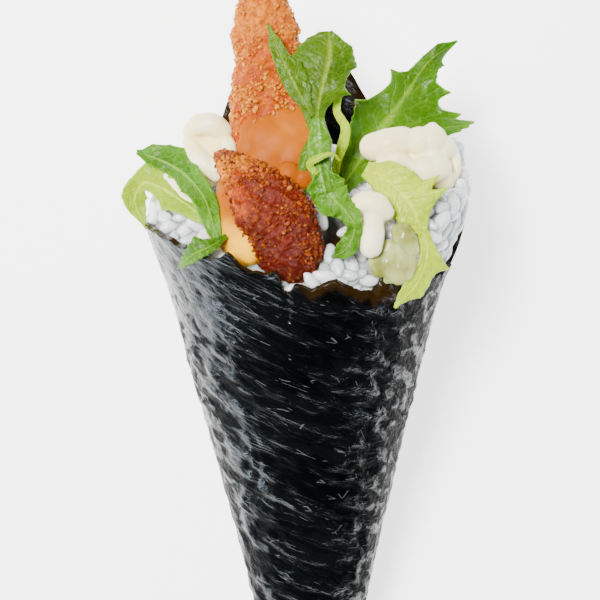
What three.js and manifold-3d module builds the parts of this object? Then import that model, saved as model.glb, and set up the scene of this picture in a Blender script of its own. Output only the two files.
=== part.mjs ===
// A temaki hand roll: a cone of seaweed filled with rice, two pieces of fried chicken, lettuce, mayonnaise and
// an orange sauce. Nothing holds it, so it lies on its back with the full side up.
// Millimetres. +X is to the right across the roll, +Y runs from the closed tip to the open mouth, and +Z is up.
// Every section of the cone across Y is a circle that touches the table, so the roll rests along its whole back.
import * as THREE from "three";
import { mergeVertices } from "three/addons/utils/BufferGeometryUtils.js";
import Module from "manifold-3d";

const wasm = await Module();
wasm.setup();

// Driving dimensions. The seaweed is a half sheet of 190 by 105 mm rolled about the middle of its long edge.
const TIP_RADIUS = 2.7; // the cone's radius where it would meet its rounded tip
const CONE_SLOPE = 0.1837; // growth of the radius for each millimetre of Y
const CONE_BELL = 0.000448; // and with the square of Y, as the cone opens towards the mouth
const FLARE = 1.1; // extra radius at the mouth
const FLARE_FROM = 98; // Y where the flare begins
const FLARE_TO = 114; // Y where the flare is complete
const TIP_ROUND = 5; // length of the rounded tip
const WALL = 0.8; // two layers of seaweed
const SEAM_STEP = 0.55; // the outer layer's edge stands this far above the layer under it
const REST_PRESS = 0.8; // how far the round back is pressed flat on the table
const CRINKLE = 0.22; // depth of the seaweed's crinkles
const INNER_LIP = 0.5; // the inner layer shows this far above the outer one
const SCRAP_HEIGHT = 3.2; // and this far at the torn scrap right of the middle
const SCRAP_ANGLE = 36; // degrees round from the front
const GAP = 0.3; // clearance that neighbouring pieces keep
const CLEAR_OF_CRUST = 1.1; // and what the crags of the crust add to it
const RICE_INSET = 1.5; // from the seaweed's outer face to the rice
const ORIGIN_X = -1.12; // middle of the whole roll across X
const ORIGIN_Y = 79.05; // and along Y

// Where the mouth's edge runs: degrees round from the front middle, and Y there. The back rises to the sheet's corner.
const RIM = [
  [-180, 148.5], [-170, 146.5], [-156, 139.5], [-148, 129], [-135, 121.5], [-115, 116], [-90, 112.7], [-67, 110],
  [-50, 107.3], [-38, 105.4], [-31, 106.2], [-22, 102.4], [-11, 103], [-9.5, 99.6], [-6.5, 99.4], [-5, 100.4],
  [2, 99.6], [12, 101.2], [18, 100], [28, 98.7], [40, 99.6], [52, 100.6], [66, 102.8], [80, 105.1], [88, 108.9],
  [96, 112.4], [106, 115], [120, 116.6], [135, 119.5], [150, 126.5], [156, 131.5], [163, 138.5], [171, 145.5],
  [180, 148.5],
];

const { clamp, degToRad, smoothstep } = THREE.MathUtils;
const V = (x, y, z) => new THREE.Vector3(x, y, z);

// Value at x of a line drawn through knots of [x, value].
function along(knots, x) {
  let i = 1;
  while (i < knots.length - 1 && knots[i][0] < x) i += 1;
  const [x0, y0] = knots[i - 1];
  const [x1, y1] = knots[i];
  return y0 + (y1 - y0) * clamp((x - x0) / (x1 - x0), 0, 1);
}

// Even random numbers from 0 to 1, the same on each run.
function seeded(seed) {
  let state = seed;
  return () => {
    state = (state * 1664525 + 1013904223) % 4294967296;
    return state / 4294967296;
  };
}

// A rough field from -1 to 1 made of crossed waves, for crags and crinkles of a given size.
function rough(p, size, phase = 0) {
  const k = 6.283 / size;
  const a = Math.sin(k * (p.x + 0.6 * p.z) + phase + 1.7 * Math.sin(0.5 * k * p.y));
  const b = Math.sin(k * (0.9 * p.y - 0.4 * p.x) + 2.1 * phase + 1.3 * Math.sin(0.6 * k * p.z));
  const c = Math.sin(1.9 * k * (0.5 * p.x + 0.7 * p.y - p.z) + 0.7 * phase);
  return (a * b + 0.5 * c) / 1.5;
}

// A closed solid from points and triangles, turned so that its faces point outwards.
function solid(points, triangles) {
  let volume = 0;
  for (const [a, b, c] of triangles) {
    volume += points[a].dot(V(0, 0, 0).crossVectors(points[b], points[c]));
  }
  const turned = volume < 0 ? triangles.map(([a, b, c]) => [a, c, b]) : triangles;
  const geometry = new THREE.BufferGeometry().setFromPoints(points);
  geometry.setIndex(turned.flat());
  return toSolid(geometry);
}

function toSolid(geometry) {
  geometry.deleteAttribute("normal");
  geometry.deleteAttribute("uv");
  const merged = mergeVertices(geometry, 1e-4);
  return new wasm.Manifold(
    new wasm.Mesh({
      numProp: 3,
      vertProperties: new Float32Array(merged.attributes.position.array),
      triVerts: new Uint32Array(merged.index.array),
    }),
  );
}

function toGeometry(body) {
  const mesh = body.getMesh();
  const geometry = new THREE.BufferGeometry();
  geometry.setAttribute("position", new THREE.BufferAttribute(new Float32Array(mesh.vertProperties), 3));
  geometry.setIndex(new THREE.BufferAttribute(new Uint32Array(mesh.triVerts), 1));
  return geometry;
}

// The largest separate body: drops loose scraps, and fills what a join has sealed.
function largest(body) {
  return body.decompose().reduce((best, one) => (one.volume() > best.volume() ? one : best));
}

// A skin over rings of equal point counts, closed by a pole at each end.
function skin(rings, startPole, endPole) {
  const count = rings[0].length;
  const points = [startPole, ...rings.flat(), endPole];
  const last = points.length - 1;
  const triangles = [];
  for (let j = 0; j < count; j += 1) {
    const next = (j + 1) % count;
    triangles.push([0, 1 + next, 1 + j]);
    const base = 1 + (rings.length - 1) * count;
    triangles.push([last, base + j, base + next]);
    for (let i = 0; i < rings.length - 1; i += 1) {
      const a = 1 + i * count + j;
      const b = 1 + i * count + next;
      triangles.push([a, b, b + count], [a, b + count, a + count]);
    }
  }
  return solid(points, triangles);
}

// Seaweed cone
const coneRadius = (y) =>
  TIP_RADIUS + CONE_SLOPE * y + CONE_BELL * y * y + FLARE * smoothstep(y, FLARE_FROM, FLARE_TO);

// The cone's axis leans a little, as it does when rolled by hand.
const coneCentre = (y) => 0.45 + 0.55 * Math.cos((y - 34) / 20) * smoothstep(y, 0, 40);

function conePoint(y, degrees, outward) {
  const angle = degToRad(degrees);
  const tip = Math.sqrt(1 - (1 - clamp(y / TIP_ROUND, 0, 1)) ** 2);
  const radius = coneRadius(y) * tip;
  const x = coneCentre(y) + (radius + outward) * Math.sin(angle);
  const z = coneRadius(y) + (radius + outward) * Math.cos(angle);
  return V(x, y, Math.max(z, REST_PRESS - Math.min(outward, 0)) - REST_PRESS);
}

const SEAM = [[20, 66], [50, 68], [68, 57], [74, 74], [84, 70], [120, 84]]; // Y, and degrees round from the front

// Height of the outer layer over the one under it: a step at the seam that fades out behind it.
function seamLift(y, degrees) {
  const behind = (((along(SEAM, y) - degrees) % 360) + 360) % 360;
  return SEAM_STEP * (1 - behind / 360);
}

function coneRing(degreesList, height, outward, wavy, grow) {
  return degreesList.map((degrees) => {
    const y = height(degrees);
    const point = conePoint(y, degrees, 0);
    const crinkle = wavy * CRINKLE * rough(point, 9) * smoothstep(y, 6, 20);
    const under = smoothstep(Math.abs(degrees), 140, 165);
    const lift = wavy * seamLift(y, degrees) * (1 - under);
    return conePoint(y, degrees, outward + grow + lift + crinkle * (1 - under));
  });
}

function seaweed(grow = 0) {
  const count = 52;
  const degreesList = Array.from({ length: count }, (_, j) => -180 + (360 * j) / count);
  const outerRows = [0.012, 0.035, 0.1, 0.21, 0.32, 0.43, 0.54, 0.65, 0.76, 0.88, 1];
  const innerRows = [0.9, 0.76, 0.6, 0.44, 0.3];
  const rim = (degrees) => along(RIM, degrees) + grow;
  const scrap = (degrees) => SCRAP_HEIGHT * Math.exp(-(((degrees - SCRAP_ANGLE) / 7) ** 4));
  const innerRim = (degrees) => rim(degrees) + INNER_LIP + scrap(degrees);
  const rings = outerRows.map((part) => coneRing(degreesList, (d) => rim(d) * part, 0, 1, grow));
  rings.push(coneRing(degreesList, (d) => rim(d), -0.45 * WALL, 0, grow));
  rings.push(coneRing(degreesList, innerRim, -0.5 * WALL, 0, grow));
  rings.push(coneRing(degreesList, innerRim, -WALL, 0, -grow));
  innerRows.forEach((part) => rings.push(coneRing(degreesList, (d) => rim(d) * part, -WALL, 0, -grow)));
  const floor = 0.3 * RIM[0][1] * 0.8;
  return skin(rings, conePoint(0, 0, 0), V(coneCentre(floor), floor, coneRadius(floor)));
}

// Rice
const RICE_FRONT = 103.6; // Y of the rice at the front edge
const RICE_RISE = 26; // how much further it reaches at the back
const RICE_FALL = 18; // depth over which it rises

const RICE_RIGHT = 4.5; // how much more it is heaped at the right
const RICE_WIDEST = 30.6; // its sides stay within this radius above the rim
const RICE_SHOULDER = 3; // how far its edge rounds off

// Y of the rice's open face above a point of the section.
const riceTop = (x, z) =>
  RICE_FRONT + RICE_RISE * (1 - Math.exp((z - 48) / RICE_FALL)) + 0.08 * x + RICE_RIGHT * smoothstep(x, 14, 28);

// A point of the open face, from 0 at its middle to 1 at its edge.
function ricePoint(part, degrees) {
  let y = 112;
  let point = V(0, 0, 0);
  for (let step = 0; step < 14; step += 1) {
    const overhang = Math.max(0, coneRadius(y) - RICE_WIDEST) * Math.sin(degToRad(degrees)) ** 2;
    point = conePoint(y, degrees, (part - 1) * coneRadius(y) - RICE_INSET - overhang);
    const edge = RICE_SHOULDER * clamp((part - 0.72) / 0.28, 0, 1) ** 2.4;
    const aim = riceTop(point.x, point.z) - edge + 0.7 * rough(point, 11, 1);
    y = 0.5 * (y + aim);
  }
  point.y = y;
  return point;
}

function riceCore() {
  const count = 24;
  const degreesList = Array.from({ length: count }, (_, j) => -180 + (360 * j) / count);
  const rings = [];
  for (const part of [0.34, 0.62, 0.88]) {
    rings.push(
      degreesList.map((d) => {
        const y = ricePoint(1, d).y * part;
        return conePoint(y, d, -RICE_INSET);
      }),
    );
  }
  for (const part of [1, 0.92, 0.78, 0.58, 0.34]) {
    rings.push(degreesList.map((d) => ricePoint(part, d)));
  }
  const floor = 0.3 * ricePoint(1, 180).y;
  return skin(rings, V(coneCentre(floor), floor, coneRadius(floor)), ricePoint(0, 0));
}

// One cooked grain: a blunt spindle of three rings.
function grain(place, direction, up, length, width) {
  const side = V(0, 0, 0).crossVectors(direction, up).normalize();
  const rise = V(0, 0, 0).crossVectors(side, direction).normalize();
  const ring = (offset, radius) =>
    Array.from({ length: 5 }, (_, j) => {
      const angle = (2 * Math.PI * j) / 5;
      return place
        .clone()
        .addScaledVector(direction, offset * length)
        .addScaledVector(side, radius * width * Math.cos(angle))
        .addScaledVector(rise, radius * width * Math.sin(angle));
    });
  const end = (offset) => place.clone().addScaledVector(direction, offset * length);
  return skin([ring(-0.34, 0.38), ring(0, 0.52), ring(0.34, 0.36)], end(-0.5), end(0.5));
}

const GRAIN_TRIES = 1200;
const GRAIN_SPACING = 5.8;
const GRAIN_LENGTH = 6.6;
const GRAIN_WIDTH = 2.7;
const GRAIN_FITS = [[1, 0], [0.9, 0.8], [0.8, 1.6], [0.7, 2]]; // size, and shift to the mouth, tried in turn

// Grains lie on the open face, clear of the toppings and the seaweed.
function riceGrains(blocked) {
  const random = seeded(7);
  const grains = [];
  const places = [];
  for (let attempt = 0; attempt < GRAIN_TRIES; attempt += 1) {
    const part = Math.min(Math.sqrt(random()), 0.985);
    const degrees = -180 + 360 * random();
    const turn = Math.PI * random();
    const tilt = 0.5 * (random() - 0.5);
    const size = 0.88 + 0.24 * random();
    const place = ricePoint(part, degrees);
    if (places.some((other) => other.distanceTo(place) < GRAIN_SPACING)) continue;
    const inward = ricePoint(part - 0.05, degrees).sub(place).normalize();
    const around = ricePoint(part, degrees + 3).sub(place).normalize();
    const up = V(0, 0, 0).crossVectors(inward, around).normalize();
    if (up.y < 0) up.negate();
    const direction = inward.multiplyScalar(Math.cos(turn)).addScaledVector(around, Math.sin(turn));
    direction.addScaledVector(up, tilt).normalize();
    for (const [fit, lift] of GRAIN_FITS) {
      const lifted = place.clone().add(V(0, lift, 0));
      const one = grain(lifted, direction, up, GRAIN_LENGTH * size * fit, GRAIN_WIDTH * size * fit);
      if (blocked.some((other) => one.intersect(other).volume() > 0)) continue;
      places.push(place);
      grains.push(one);
      break;
    }
  }
  return grains;
}

// Fried chicken: a long piece with a superellipse section and a craggy crust.
function fried({ spine, width, thick, lean, crag, phase, rows, around }, grow = 0) {
  const curve = new THREE.CatmullRomCurve3(spine.map((p) => V(...p)));
  const rings = [];
  for (let i = 0; i <= rows; i += 1) {
    const t = i / rows;
    const at = curve.getPoint(t);
    const forward = curve.getTangent(t);
    const side = V(0, 0, 0).crossVectors(forward, V(0, 0, 1)).normalize();
    side.applyAxisAngle(forward, degToRad(along(lean, t)));
    const up = V(0, 0, 0).crossVectors(side, forward).normalize();
    const end = Math.sqrt(Math.max(0.06, 1 - Math.abs(2 * t - 1) ** 9));
    const halfWidth = 0.5 * along(width, t) * end;
    const halfThick = 0.5 * along(thick, t) * end;
    rings.push(
      Array.from({ length: around }, (_, j) => {
        const angle = (2 * Math.PI * j) / around;
        const c = Math.cos(angle);
        const s = Math.sin(angle);
        const reach = (extra) =>
          at
            .clone()
            .addScaledVector(side, (halfWidth + extra) * Math.sign(c) * Math.abs(c) ** 0.75)
            .addScaledVector(up, (halfThick + extra) * Math.sign(s) * Math.abs(s) ** 0.75);
        const bare = reach(0);
        const out = bare.clone().sub(at).normalize();
        const height = crag * (rough(bare, 5.2, phase) + 0.5 * rough(bare, 2.9, phase + 2));
        return reach(grow).addScaledVector(out, height);
      }),
    );
  }
  const endPoint = (t, step) => curve.getPoint(t).addScaledVector(curve.getTangent(t), step);
  return skin(rings, endPoint(0, -0.6 - grow), endPoint(1, 0.6 + grow));
}

// The smoother, slightly larger form of a fried piece that its neighbours keep clear of.
const friedClear = (spec) => fried({ ...spec, crag: 0, rows: 14, around: 10 }, GAP + CLEAR_OF_CRUST);

// Sauce and mayonnaise: soft lobes that run into each other, with a crease between them.
function lobes({ balls, blend, detail, squash = 1 }, grow = 0) {
  const shape = new THREE.IcosahedronGeometry(1, detail);
  shape.deleteAttribute("normal");
  shape.deleteAttribute("uv");
  const sphere = mergeVertices(shape, 1e-4);
  const middle = V(0, 0, 0);
  balls.forEach(([x, y, z]) => middle.add(V(x, y, z)));
  middle.divideScalar(balls.length);
  const outside = (p) => {
    let sum = 0;
    for (const [x, y, z, radius] of balls) {
      const far = V((p.x - x), (p.y - y), (p.z - z) / squash).length();
      sum += Math.exp((radius + grow - far) / blend);
    }
    return -blend * Math.log(sum);
  };
  const positions = sphere.attributes.position;
  for (let i = 0; i < positions.count; i += 1) {
    const way = V(0, 0, 0).fromBufferAttribute(positions, i).normalize();
    let inner = 0;
    let outer = 0;
    for (let reach = 0.4; reach < 24; reach += 0.4) {
      if (outside(middle.clone().addScaledVector(way, reach)) < 0) inner = reach;
    }
    outer = inner + 0.4;
    for (let step = 0; step < 14; step += 1) {
      const half = 0.5 * (inner + outer);
      if (outside(middle.clone().addScaledVector(way, half)) < 0) inner = half;
      else outer = half;
    }
    const point = middle.clone().addScaledVector(way, Math.max(inner, 0.3));
    positions.setXYZ(i, point.x, point.y, point.z);
  }
  return toSolid(sphere);
}

// A blade of lettuce: a thin wavy sheet along a midrib, with its own outline and teeth on each side.
function blade(leaf, grow = 0) {
  const { spine, left, right, rows, thick = 0.7, rib = 0.5, cup = 0, wave = 0, waves = 3, roll = [[0, 0], [1, 0]] } = leaf;
  const columns = leaf.columns ?? 4;
  const [sweepLeft, sweepRight] = leaf.sweep ?? [0, 0];
  const phase = leaf.phase ?? 0;
  const curve = new THREE.CatmullRomCurve3(spine.map((p) => V(...p)));
  const top = [];
  const under = [];
  for (let i = 0; i <= rows; i += 1) {
    const t = i / rows;
    const at = curve.getPointAt(t);
    const forward = curve.getTangentAt(t);
    if (i === 0) at.addScaledVector(forward, -grow);
    if (i === rows) at.addScaledVector(forward, grow);
    const side = V(0, 0, 0).crossVectors(forward, V(0, 0, 1)).normalize();
    side.applyAxisAngle(forward, degToRad(along(roll, t)));
    const up = V(0, 0, 0).crossVectors(side, forward).normalize();
    for (let j = 0; j <= columns; j += 1) {
      const v = (2 * j) / columns - 1;
      const reach = Math.abs(v) * (along(v < 0 ? left : right, t) + grow);
      const ripple = wave * Math.abs(v) ** 1.5 * Math.sin(6.283 * waves * t + phase + (v < 0 ? 1.4 : 0));
      const middle = at
        .clone()
        .addScaledVector(side, Math.sign(v) * reach)
        .addScaledVector(forward, (v < 0 ? sweepLeft : sweepRight) * Math.abs(v) * reach)
        .addScaledVector(up, cup * v * v * reach + ripple);
      const onEdge = i === 0 || i === rows || j === 0 || j === columns;
      const half = onEdge ? 0 : 0.5 * thick * (1 + rib * Math.exp(-((v / 0.2) ** 2))) + grow;
      top.push(middle.clone().addScaledVector(up, half));
      under.push(onEdge ? null : middle.clone().addScaledVector(up, -half));
    }
  }
  return sheetSolid(top, under, rows, columns);
}

// Closes two faces of a sheet that share their edge points.
function sheetSolid(top, under, rows, columns) {
  const points = [...top];
  const underIndex = under.map((point, k) => {
    if (!point) return k;
    points.push(point);
    return points.length - 1;
  });
  const triangles = [];
  const across = columns + 1;
  for (let i = 0; i < rows; i += 1) {
    for (let j = 0; j < columns; j += 1) {
      const a = i * across + j;
      const [b, c, d] = [a + 1, a + across, a + across + 1];
      const rising = i < rows / 2 === j < columns / 2;
      const face = rising ? [[a, b, d], [a, d, c]] : [[a, b, c], [b, d, c]];
      face.forEach(([p, q, r]) => {
        triangles.push([p, q, r], [underIndex[p], underIndex[r], underIndex[q]]);
      });
    }
  }
  return solid(points, triangles);
}

// A stem: a plain round loft.
const stem = (spec, grow = 0) =>
  fried({ lean: [[0, 0], [1, 0]], crag: 0, phase: 0, rows: 8, around: 8, ...spec }, grow);

const CHICKEN_STRIP = {
  spine: [[-7.9, 157.5, 40.5], [-7.7, 148, 40.4], [-7, 141.5, 40], [-7, 134.5, 39.2], [-7.4, 126, 37.5], [-8.2, 112, 34]],
  width: [[0, 7], [0.06, 8.6], [0.15, 10.4], [0.22, 12.4], [0.32, 11.4], [0.45, 12.2], [0.58, 14.2], [0.7, 13], [1, 10]],
  thick: [[0, 5], [0.1, 7], [0.4, 8.4], [0.7, 9], [1, 7]],
  lean: [[0, 8], [0.5, -6], [1, 4]],
  crag: 0.5,
  phase: 0.4,
  rows: 24,
  around: 16,
};

const CHICKEN_FRONT = {
  spine: [[-16.4, 124.6, 44], [-11.7, 120.4, 45], [-7, 114.8, 45.8], [-3.6, 108.8, 46], [-1.4, 101.2, 46]],
  width: [[0, 3], [0.12, 5], [0.25, 7.6], [0.45, 13], [0.62, 13.8], [0.85, 12.4], [1, 7.6]],
  thick: [[0, 3], [0.2, 5.5], [0.5, 7.6], [1, 7]],
  lean: [[0, -14], [0.5, 4], [1, 8]],
  crag: 0.5,
  phase: 2.3,
  rows: 20,
  around: 16,
};

const SAUCE_UPPER = {
  balls: [
    [-8.1, 125.7, 42.6, 4.4], [-4, 127.1, 43, 4.4], [-1.7, 131.2, 42.6, 2.6], [-4.8, 122.6, 43.6, 3.7],
    [-10.4, 127.2, 41.6, 2.6],
  ],
  blend: 0.8,
  detail: 3,
};

const SAUCE_LOWER = {
  balls: [[-13.2, 116.4, 41.6, 3.6], [-13.1, 110.6, 43, 4.4], [-10.8, 108.2, 44, 4.2]],
  blend: 0.9,
  detail: 2,
};

const SAUCE_DROP = { balls: [[-3.2, 121, 44, 2.6], [-0.6, 120.2, 44, 2.2]], blend: 0.7, detail: 1 };

const MAYO_LEFT = {
  balls: [
    [-18.3, 129, 38, 2.9], [-15.9, 127.2, 39, 2.8], [-19.4, 126, 38.6, 3.1], [-16.6, 124.2, 39.8, 2.8],
    [-20.5, 130, 36.6, 1.7], [-20, 122.9, 38.8, 2], [-17.6, 121, 34.6, 4.4],
  ],
  blend: 0.55,
  detail: 3,
};

const MAYO_SIDE = { balls: [[-24.6, 120.2, 35.4, 1.9], [-22.2, 118.2, 36.6, 2.3], [-20.6, 116.2, 38.4, 2.2]], blend: 0.6, detail: 1 };

const MAYO_RIGHT = {
  balls: [
    [14.6, 126.2, 37.6, 4.5], [19.1, 125.4, 39, 4.2], [23.5, 126, 39, 4.8], [24.5, 121.6, 39.2, 4.4],
    [17.2, 122.7, 40.6, 3.2], [22, 129.2, 37.6, 2.3], [20, 121.4, 35, 5.6],
  ],
  blend: 0.5,
  detail: 4,
};

const MAYO_MID = {
  balls: [[10.7, 114.9, 46.8, 3.2], [13.3, 114.4, 46.8, 3], [12, 110.4, 47.6, 2.5], [11.6, 107.8, 48, 2.3]],
  blend: 0.6,
  detail: 2,
};

const SLICE_UPPER = { balls: [[18.2, 109.6, 45.6, 2.2], [18.6, 107.6, 45.6, 2.2]], blend: 0.8, detail: 1, squash: 0.7 };

const SLICE_LOWER = { balls: [[15.4, 105.6, 46.6, 3.1], [17.6, 103.6, 46, 2.6], [14.4, 103.6, 47, 2.4]], blend: 0.9, detail: 1, squash: 0.5 };

const CENTRE_BLADE = {
  spine: [[1.9, 127, 46.2], [2.1, 132, 46.6], [2.8, 136.5, 46.8], [4.1, 141.5, 46.2], [4.2, 147, 44.6]],
  left: [[0, 1], [0.12, 1.8], [0.25, 3], [0.37, 4.2], [0.54, 6.2], [0.72, 6.8], [0.86, 5.6], [0.95, 4], [1, 2]],
  right: [[0, 1], [0.25, 1.3], [0.37, 2.6], [0.43, 4], [0.46, 5.4], [0.54, 3.9], [0.66, 4], [0.72, 5.2], [0.86, 4], [0.95, 1.6], [1, 0.6]],
  rows: 22,
  cup: -0.12,
  wave: 0.7,
  waves: 2.4,
};

const CENTRE_FINGER = {
  spine: [[1.2, 131.2, 46.8], [-1.6, 135.8, 47], [-4.3, 141.4, 46.8], [-7, 148.2, 45.6]],
  left: [[0, 0.6], [0.3, 1.7], [0.55, 1.7], [0.8, 1.3], [1, 0.2]],
  right: [[0, 0.6], [0.3, 3], [0.52, 3], [0.62, 1.7], [0.8, 1.1], [1, 0.2]],
  rows: 10,
  columns: 2,
  wave: 0.3,
  waves: 1.5,
};

const CENTRE_STEM = {
  spine: [[2.1, 131, 46.6], [2.4, 126.5, 47.2], [2.4, 122, 47.8], [3.4, 117, 48.6]],
  width: [[0, 2.4], [0.3, 4.6], [0.6, 4.2], [1, 3]],
  thick: [[0, 1.2], [0.3, 2.2], [1, 1.8]],
};

const CENTRE_FRILL = {
  spine: [[3, 121, 48.4], [4.2, 117, 49], [7, 113.9, 49.6], [8.6, 111, 49.9], [7.2, 107.4, 49.8], [4.6, 105.6, 49]],
  left: [[0, 1.4], [0.1, 3.4], [0.2, 3], [0.28, 3.6], [0.4, 2.2], [0.52, 2.2], [0.62, 1.5], [0.8, 1.8], [0.9, 1.4], [1, 0.3]],
  right: [[0, 1.6], [0.12, 3.4], [0.22, 3], [0.32, 3.4], [0.42, 2.2], [0.5, 1.4], [0.62, 1.3], [0.75, 1.7], [0.88, 1.6], [1, 0.3]],
  rows: 20,
  cup: 0.12,
  wave: 0.9,
  waves: 3.6,
};

const CENTRE_CURL = {
  spine: [[2, 120.6, 49.2], [0.6, 122.4, 49.6], [2.6, 123.7, 50.6], [4.8, 124.2, 51], [6, 123, 50.2]],
  left: [[0, 0.6], [0.5, 0.7], [1, 0.2]],
  right: [[0, 0.6], [0.5, 0.7], [1, 0.2]],
  rows: 10,
  columns: 2,
};

const RIGHT_BLADE = {
  spine: [[4.6, 116, 34.4], [8.6, 122, 33.4], [12.6, 128.4, 32], [16.3, 133.5, 30.4], [19.2, 137.4, 29], [22.8, 142.8, 27.2], [28.7, 147.2, 25]],
  left: [[0, 1.6], [0.2, 3.6], [0.34, 5], [0.44, 6.8], [0.51, 4.6], [0.6, 3.6], [0.66, 5], [0.74, 1.8], [0.84, 1.4], [0.9, 1.6], [1, 0.2]],
  right: [
    [0, 1.6], [0.2, 4], [0.3, 10], [0.35, 12.8], [0.415, 14.2], [0.455, 14.6], [0.48, 10.8], [0.51, 10.6], [0.54, 7.4],
    [0.6, 5.7], [0.63, 6.9], [0.68, 3.6], [0.77, 2.7], [0.82, 2.7], [0.88, 1.2], [1, 0.2],
  ],
  rows: 28,
  cup: 0.06,
  wave: 1,
  waves: 3.2,
  sweep: [0.15, 0.78],
};

const PALE_BLADE = {
  spine: [[10.8, 122, 42.4], [15.4, 119.2, 44.8], [18.6, 115.5, 45.8], [20.9, 110.4, 46.2]],
  left: [[0, 1.5], [0.2, 3.4], [0.45, 4.4], [0.54, 4.4], [0.6, 8], [0.66, 4.8], [0.71, 7.8], [0.78, 4], [0.9, 2.2], [1, 1.2]],
  right: [[0, 1.5], [0.2, 2.6], [0.4, 4.2], [0.6, 4.8], [0.8, 3.2], [1, 1.2]],
  rows: 20,
  cup: -0.08,
  wave: 0.4,
};

const PALE_TAIL = {
  spine: [[20.6, 112, 46.3], [21.7, 107.4, 45.8], [20.4, 102, 45.2], [16, 96.6, 45.6]],
  left: [[0, 1], [0.2, 1.4], [0.36, 3.2], [0.44, 5.4], [0.52, 2.8], [0.66, 2.4], [0.74, 2.6], [0.86, 1.2], [1, 0.2]],
  right: [[0, 1], [0.3, 1], [0.5, 1.4], [0.7, 2.2], [0.85, 1.4], [1, 0.2]],
  rows: 16,
  roll: [[0, 0], [0.4, -24], [1, -20]],
  wave: 0.3,
};

const LEFT_UPPER_BLADE = {
  spine: [[-31.6, 125.6, 33.6], [-26, 123.3, 36.4], [-21.8, 120.4, 39.6], [-18.6, 116.4, 43.4], [-17, 111.6, 46], [-15.8, 107.6, 46.4]],
  left: [[0, 0.4], [0.1, 2.4], [0.2, 3.4], [0.3, 4.2], [0.36, 5.2], [0.42, 3], [0.55, 2.4], [0.75, 2], [0.9, 1.4], [1, 0.4]],
  right: [[0, 0.4], [0.1, 1.4], [0.3, 1.6], [0.42, 2.2], [0.5, 2.8], [0.58, 2.2], [0.75, 2], [0.9, 1.4], [1, 0.4]],
  rows: 20,
  cup: 0.14,
  wave: 0.5,
  waves: 2.2,
};

const LEFT_LOWER_BLADE = {
  spine: [[-17, 111.4, 44.4], [-22.3, 115.7, 39.4], [-27.2, 118.8, 35.6], [-30.7, 119.6, 33.2], [-32.2, 116.7, 32], [-29.9, 111.2, 32]],
  left: [[0, 0.8], [0.2, 1.7], [0.34, 2.6], [0.4, 3.4], [0.47, 2.6], [0.6, 1.4], [0.75, 2.5], [0.88, 1.8], [1, 0.2]],
  right: [[0, 0.8], [0.25, 1.8], [0.45, 2.9], [0.58, 4], [0.63, 4.4], [0.68, 2.2], [0.78, 2.4], [0.86, 1.4], [1, 0.2]],
  rows: 22,
  cup: 0.1,
  wave: 0.4,
};

const LEFT_CURL = {
  spine: [[-14.4, 109.6, 47.4], [-17.4, 107.6, 49.4], [-20.4, 106.2, 48.6], [-23.4, 103.8, 43.6]],
  left: [[0, 0.5], [0.3, 1.2], [0.6, 1.4], [0.8, 1], [1, 0.2]],
  right: [[0, 0.5], [0.3, 1.6], [0.44, 3], [0.6, 1.8], [0.8, 1], [1, 0.2]],
  rows: 12,
  roll: [[0, 0], [0.5, 10], [1, 25]],
};

const PALE_SHRED = {
  spine: [[6.2, 136.4, 43.6], [5.6, 132.6, 43], [7.2, 129.4, 41.4], [5.6, 123, 38.4], [5, 117.5, 35.6]],
  left: [[0, 0.6], [0.5, 1], [1, 0.6]],
  right: [[0, 0.6], [0.5, 1], [1, 0.6]],
  rows: 10,
  columns: 2,
};

const CENTRE_SHRED = {
  spine: [[1.6, 129.4, 43.8], [0.2, 125, 45], [-0.8, 121.4, 45.6], [-0.4, 117, 44]],
  left: [[0, 0.4], [0.4, 1.1], [1, 0.5]],
  right: [[0, 0.4], [0.4, 1.1], [1, 0.5]],
  rows: 10,
  columns: 2,
};

const joined = (parts) => parts.reduce((all, one) => all.add(one));

function lettuceCentre(grow = 0) {
  return joined([
    blade(CENTRE_BLADE, grow),
    blade(CENTRE_FINGER, grow),
    stem(CENTRE_STEM, grow),
    blade(CENTRE_FRILL, grow),
    blade(CENTRE_CURL, grow),
  ]);
}

const lettucePale = (grow = 0) => joined([blade(PALE_BLADE, grow), blade(PALE_TAIL, grow)]);

// Each finish as it looks in daylight.
const finish = (color, roughness) => new THREE.MeshStandardMaterial({ color, roughness, metalness: 0 });
const SEAWEED = finish(0x14181a, 0.3);
const RICE = finish(0xe9e9e4, 0.45);
const CRUST = finish(0xc8662c, 0.7);
const ORANGE_SAUCE = finish(0xf0962a, 0.25);
const MAYONNAISE = finish(0xf6ebcb, 0.3);
const LETTUCE = finish(0x6f9f2c, 0.45);
const PALE_LETTUCE = finish(0xc6d860, 0.45);
const PALE_SLICE = finish(0xcfcda4, 0.35);

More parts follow.
